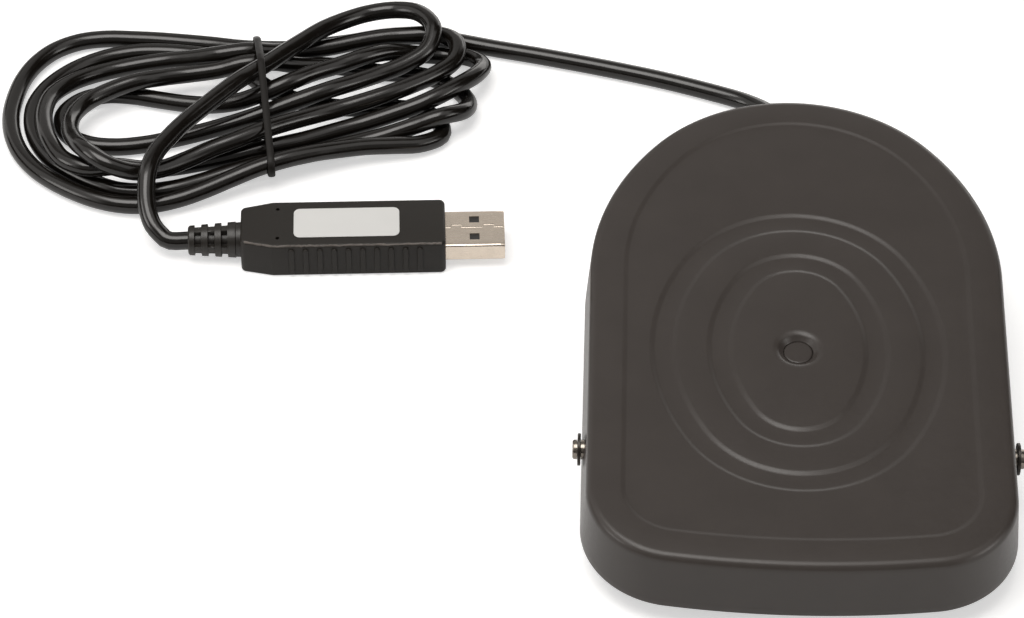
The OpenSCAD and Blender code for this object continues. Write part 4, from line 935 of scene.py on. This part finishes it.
def lay_floor():
    """The floor: matt white, with a glow for the camera and a weaker one for mirrors."""
    floor = board("floor", [(-4, -4, 0), (4, -4, 0), (4, 4, 0), (-4, 4, 0)])
    pale = bpy.data.materials.new("matt white floor")
    tree = bare_tree(pale)
    ray = add(tree, "ShaderNodeLightPath")
    matt = add(tree, "ShaderNodeBsdfDiffuse", {"Color": (0.82, 0.82, 0.82, 1)})
    mirrors = {0: ray.outputs["Is Glossy Ray"], 1: ray.outputs["Is Transmission Ray"]}
    shine = add(tree, "ShaderNodeMath", mirrors, operation="MAXIMUM")
    shine = add(tree, "ShaderNodeMath", {0: shine.outputs[0], 1: 0.18}, operation="MULTIPLY")
    lift = add(tree, "ShaderNodeMath", {0: ray.outputs["Is Camera Ray"], 1: 0.52, 2: shine.outputs[0]},
               operation="MULTIPLY_ADD")
    glow = add(tree, "ShaderNodeEmission", {"Strength": lift.outputs[0]})
    both = add(tree, "ShaderNodeAddShader", {0: matt.outputs[0], 1: glow.outputs[0]})
    add(tree, "ShaderNodeOutputMaterial", {"Surface": both.outputs[0]})
    floor.data.materials.append(pale)


def hang_cards():
    """The cards, each an even glow."""
    for name, level, corners in CARDS:
        card = board(name, corners)
        dull = bpy.data.materials.new(name)
        tree = bare_tree(dull)
        shown = add(tree, "ShaderNodeEmission", {"Color": (*WARM, 1), "Strength": level})
        add(tree, "ShaderNodeOutputMaterial", {"Surface": shown.outputs[0]})
        card.data.materials.append(dull)
        card.visible_camera = False


def light_world(scene):
    """The studio's walls: full strength for the camera and mirrors, dimmer as light."""
    scene.world = bpy.data.worlds.new("studio")
    tree = bare_tree(scene.world)
    ray = add(tree, "ShaderNodeLightPath")
    direct = {0: ray.outputs["Is Camera Ray"], 1: ray.outputs["Is Glossy Ray"]}
    seen = add(tree, "ShaderNodeMath", direct, operation="MAXIMUM")
    through = {0: seen.outputs[0], 1: ray.outputs["Is Transmission Ray"]}
    seen = add(tree, "ShaderNodeMath", through, operation="MAXIMUM")
    level = add(tree, "ShaderNodeMapRange", {"Value": seen.outputs[0], "To Min": 0.45, "To Max": 1.0})
    sky = add(tree, "ShaderNodeBackground", {"Color": (*WARM, 1), "Strength": level.outputs[0]})
    add(tree, "ShaderNodeOutputWorld", {"Surface": sky.outputs[0]})


def hang_lamps():
    """The lamps, each turned to its aim."""
    for name, at, aim, size, power in LAMPS:
        lamp = bpy.data.lights.new(name, "AREA")
        lamp.shape, lamp.size, lamp.energy, lamp.color = "SQUARE", size, power, WARM
        back = np.array(at) - np.array(aim)
        back = back / np.linalg.norm(back)
        right = np.cross((0, 1, 0.01), back)
        right /= np.linalg.norm(right)
        turn = np.column_stack([right, np.cross(back, right), back, at])
        placed(name, lamp).matrix_world = Matrix([*turn.tolist(), (0, 0, 0, 1)])


class PEDAL_OT_stage(bpy.types.Operator):
    """Pale floor, soft studio light and the camera of the photograph"""
    bl_idname = "pedal.stage"
    bl_label = "Stage and camera"

    def execute(self, context):
        scene = context.scene
        scene.view_settings.view_transform = "Standard"
        lens = bpy.data.cameras.new("camera")
        lens.sensor_width, lens.lens = SENSOR, LENS
        scene.camera = placed("camera", lens)
        scene.camera.matrix_world = Matrix(CAMERA_PLACE)
        lay_floor()
        hang_cards()
        light_world(scene)
        hang_lamps()
        return {"FINISHED"}


class PEDAL_OT_cord(bpy.types.Operator):
    """The cord with its hank, tie and grommet"""
    bl_idname = "pedal.cord"
    bl_label = "Cord"

    def execute(self, context):
        looks = finishes()
        thick = kinds("pedal_cord")["thick"]
        path = cord_path()
        cord = piece("cord", along(path, 18, thick / 2, thick / 2), looks["cord"], "base",
                     ("cord_lead", "cord_hank", "cord_tail"))
        wall = grommet_end() - SLEEVE
        inside = smooth([(0, 38, LAY_Z), (0, 41, LAY_Z), (0, 49.5, LAY_Z),
                         (0, wall - 11.5, (LAY_Z + EXIT_Z) / 2), (0, wall - 7, EXIT_Z),
                         (0, wall - 4.8, EXIT_Z), (0, wall + 2, EXIT_Z)])
        piece("cord_inside", along(inside, 18, thick / 2, thick / 2), looks["cord"], "base",
              ("cord_inner",))
        tie = piece("cord_tie_strip", tie_part(), looks["tie"], "base", ("cord_tie",))
        piece("cord_grommet_moulding", grommet_part(), looks["rubber"], "base", ("cord_grommet",))
        bpy.ops.pedal.plug()
        grommet_end() * MM
        return {"FINISHED"}


class PEDAL_OT_plug(bpy.types.Operator):
    """The plug: boot, ribbed housing, blank label and metal shell"""
    bl_idname = "pedal.plug"
    bl_label = "Plug"

    def execute(self, context):
        looks = finishes()
        piece("plug_boot_moulding", boot_part(), looks["boot"], "base", ("plug_boot",),
              sharp=50)
        piece("plug_body", housing_part(), looks["plug"], "base", ("plug_housing",))
        piece("plug_blank_label", label_part(), looks["label"], "base", ("plug_label",))
        # The pale bead is partly worn flash and partly a painted highlight along the upper front edge
        piece("plug_edge_flash_and_painted_highlight", flash_part(), looks["flash"], "base", (), sharp=70)
        piece("plug_metal_shell", shell_part(), looks["nickel"], "base", ("plug_shell",))
        piece("plug_shell_seam", seam_part(0.1, 0.06, 0.012), looks["oxide"], "base", ())
        piece("plug_shell_lip", seam_part(-0.06, 0.1, 0.05), looks["nickel"], "base", (),
              sharp=70)
        return {"FINISHED"}


class PEDAL_OT_treadle(bpy.types.Operator):
    """The pressed treadle and its stud"""
    bl_idname = "pedal.treadle"
    bl_label = "Treadle"

    def execute(self, context):
        looks = finishes()
        piece("treadle_pressing", treadle_part(), looks["paint"], "treadle", ("treadle_cover",),
              sharp=60)
        piece("treadle_press_stud", stud_part(), looks["paint"], "treadle", ("treadle_stud",))
        return {"FINISHED"}


class PEDAL_OT_base(bpy.types.Operator):
    """The base pan and its feet"""
    bl_idname = "pedal.base"
    bl_label = "Base"

    def execute(self, context):
        looks = finishes()
        piece("base_pressing", base_part(), looks["base"], "base", ("base_pan",), sharp=60)
        feet = joined(*(foot_part(x, y) for x in FOOT_X for y in FOOT_Y))
        piece("base_feet", feet, looks["rubber"], "base", ("rubber_feet",))
        return {"FINISHED"}


class PEDAL_OT_pivot(bpy.types.Operator):
    """The axle, its clips and the return springs"""
    bl_idname = "pedal.pivot"
    bl_label = "Pivot and springs"

    def execute(self, context):
        looks = finishes()
        piece("axle_pin", axle_part(), looks["axle"], "base", ("pivot_axle",))
        piece("axle_clips", joined(clip_part(-1), clip_part(1)), looks["oxide"], "base",
              ("retaining_clips",))
        springs = piece("spring_coils", joined(spring_part(-20), spring_part(20)), looks["steel"], "base",
                        ("return_springs",))
        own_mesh(springs)
        return {"FINISHED"}


class PEDAL_OT_inside(bpy.types.Operator):
    """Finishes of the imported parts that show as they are"""
    bl_idname = "pedal.inside"
    bl_label = "Switch and small parts"

    def execute(self, context):
        looks = finishes()
        for node, look in (("spring_posts", "nylon"), ("switch_bracket", "zinc"),
                           ("bracket_rivets", "steel"),
                           ("microswitch_case", "phenolic"), ("microswitch_terminals", "brass"),
                           ("microswitch_lever", "steel"), ("microswitch_button", "red"),
                           ("switch_screws", "zinc"),
                           ("switch_nuts", "zinc"), ("switch_wires", "red"), ("cord_clamp", "zinc"),
                           ("clamp_screws", "zinc"), ("plug_tongue", "phenolic"), ("plug_contacts", "gold"),
                           ("controller_board", "mask"), ("controller_chip", "phenolic")):
            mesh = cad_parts[node].data
            mesh.materials.clear()
            mesh.materials.append(looks[look])
        return {"FINISHED"}


class PEDAL_PT_sidebar(bpy.types.Panel):
    """Lists the pedal's operators"""
    bl_idname = "PEDAL_PT_sidebar"
    bl_label = "Foot pedal switch"
    bl_space_type = "VIEW_3D"
    bl_region_type = "UI"
    bl_category = "Pedal"

    def draw(self, context):
        for kind in OPERATORS:
            self.layout.operator(kind.bl_idname)


GROUPS = {"pedal_treadle": TreadleSizes, "pedal_cord": CordSizes, "pedal_plug": PlugSizes,
          "pedal_colours": PedalColours}
OPERATORS = (PEDAL_OT_stage, PEDAL_OT_cord, PEDAL_OT_plug, PEDAL_OT_treadle, PEDAL_OT_base, PEDAL_OT_pivot,
             PEDAL_OT_inside)


def register():
    """Adds the property groups, operators and panel."""
    for name, group in GROUPS.items():
        bpy.utils.register_class(group)
        setattr(bpy.types.Scene, name, bpy.props.PointerProperty(type=group))
    for kind in (*OPERATORS, PEDAL_PT_sidebar):
        bpy.utils.register_class(kind)


def unregister():
    """Takes them away again."""
    for kind in (PEDAL_PT_sidebar, *reversed(OPERATORS)):
        bpy.utils.unregister_class(kind)
    for name, group in GROUPS.items():
        delattr(bpy.types.Scene, name)
        bpy.utils.unregister_class(group)


def main():
    """Makes the stage, then the pieces."""
    register()
    bpy.ops.pedal.stage()
    bpy.ops.pedal.cord()
    bpy.ops.pedal.treadle()
    bpy.ops.pedal.base()
    bpy.ops.pedal.pivot()
    bpy.ops.pedal.inside()


if __name__ == "__main__":
    main()
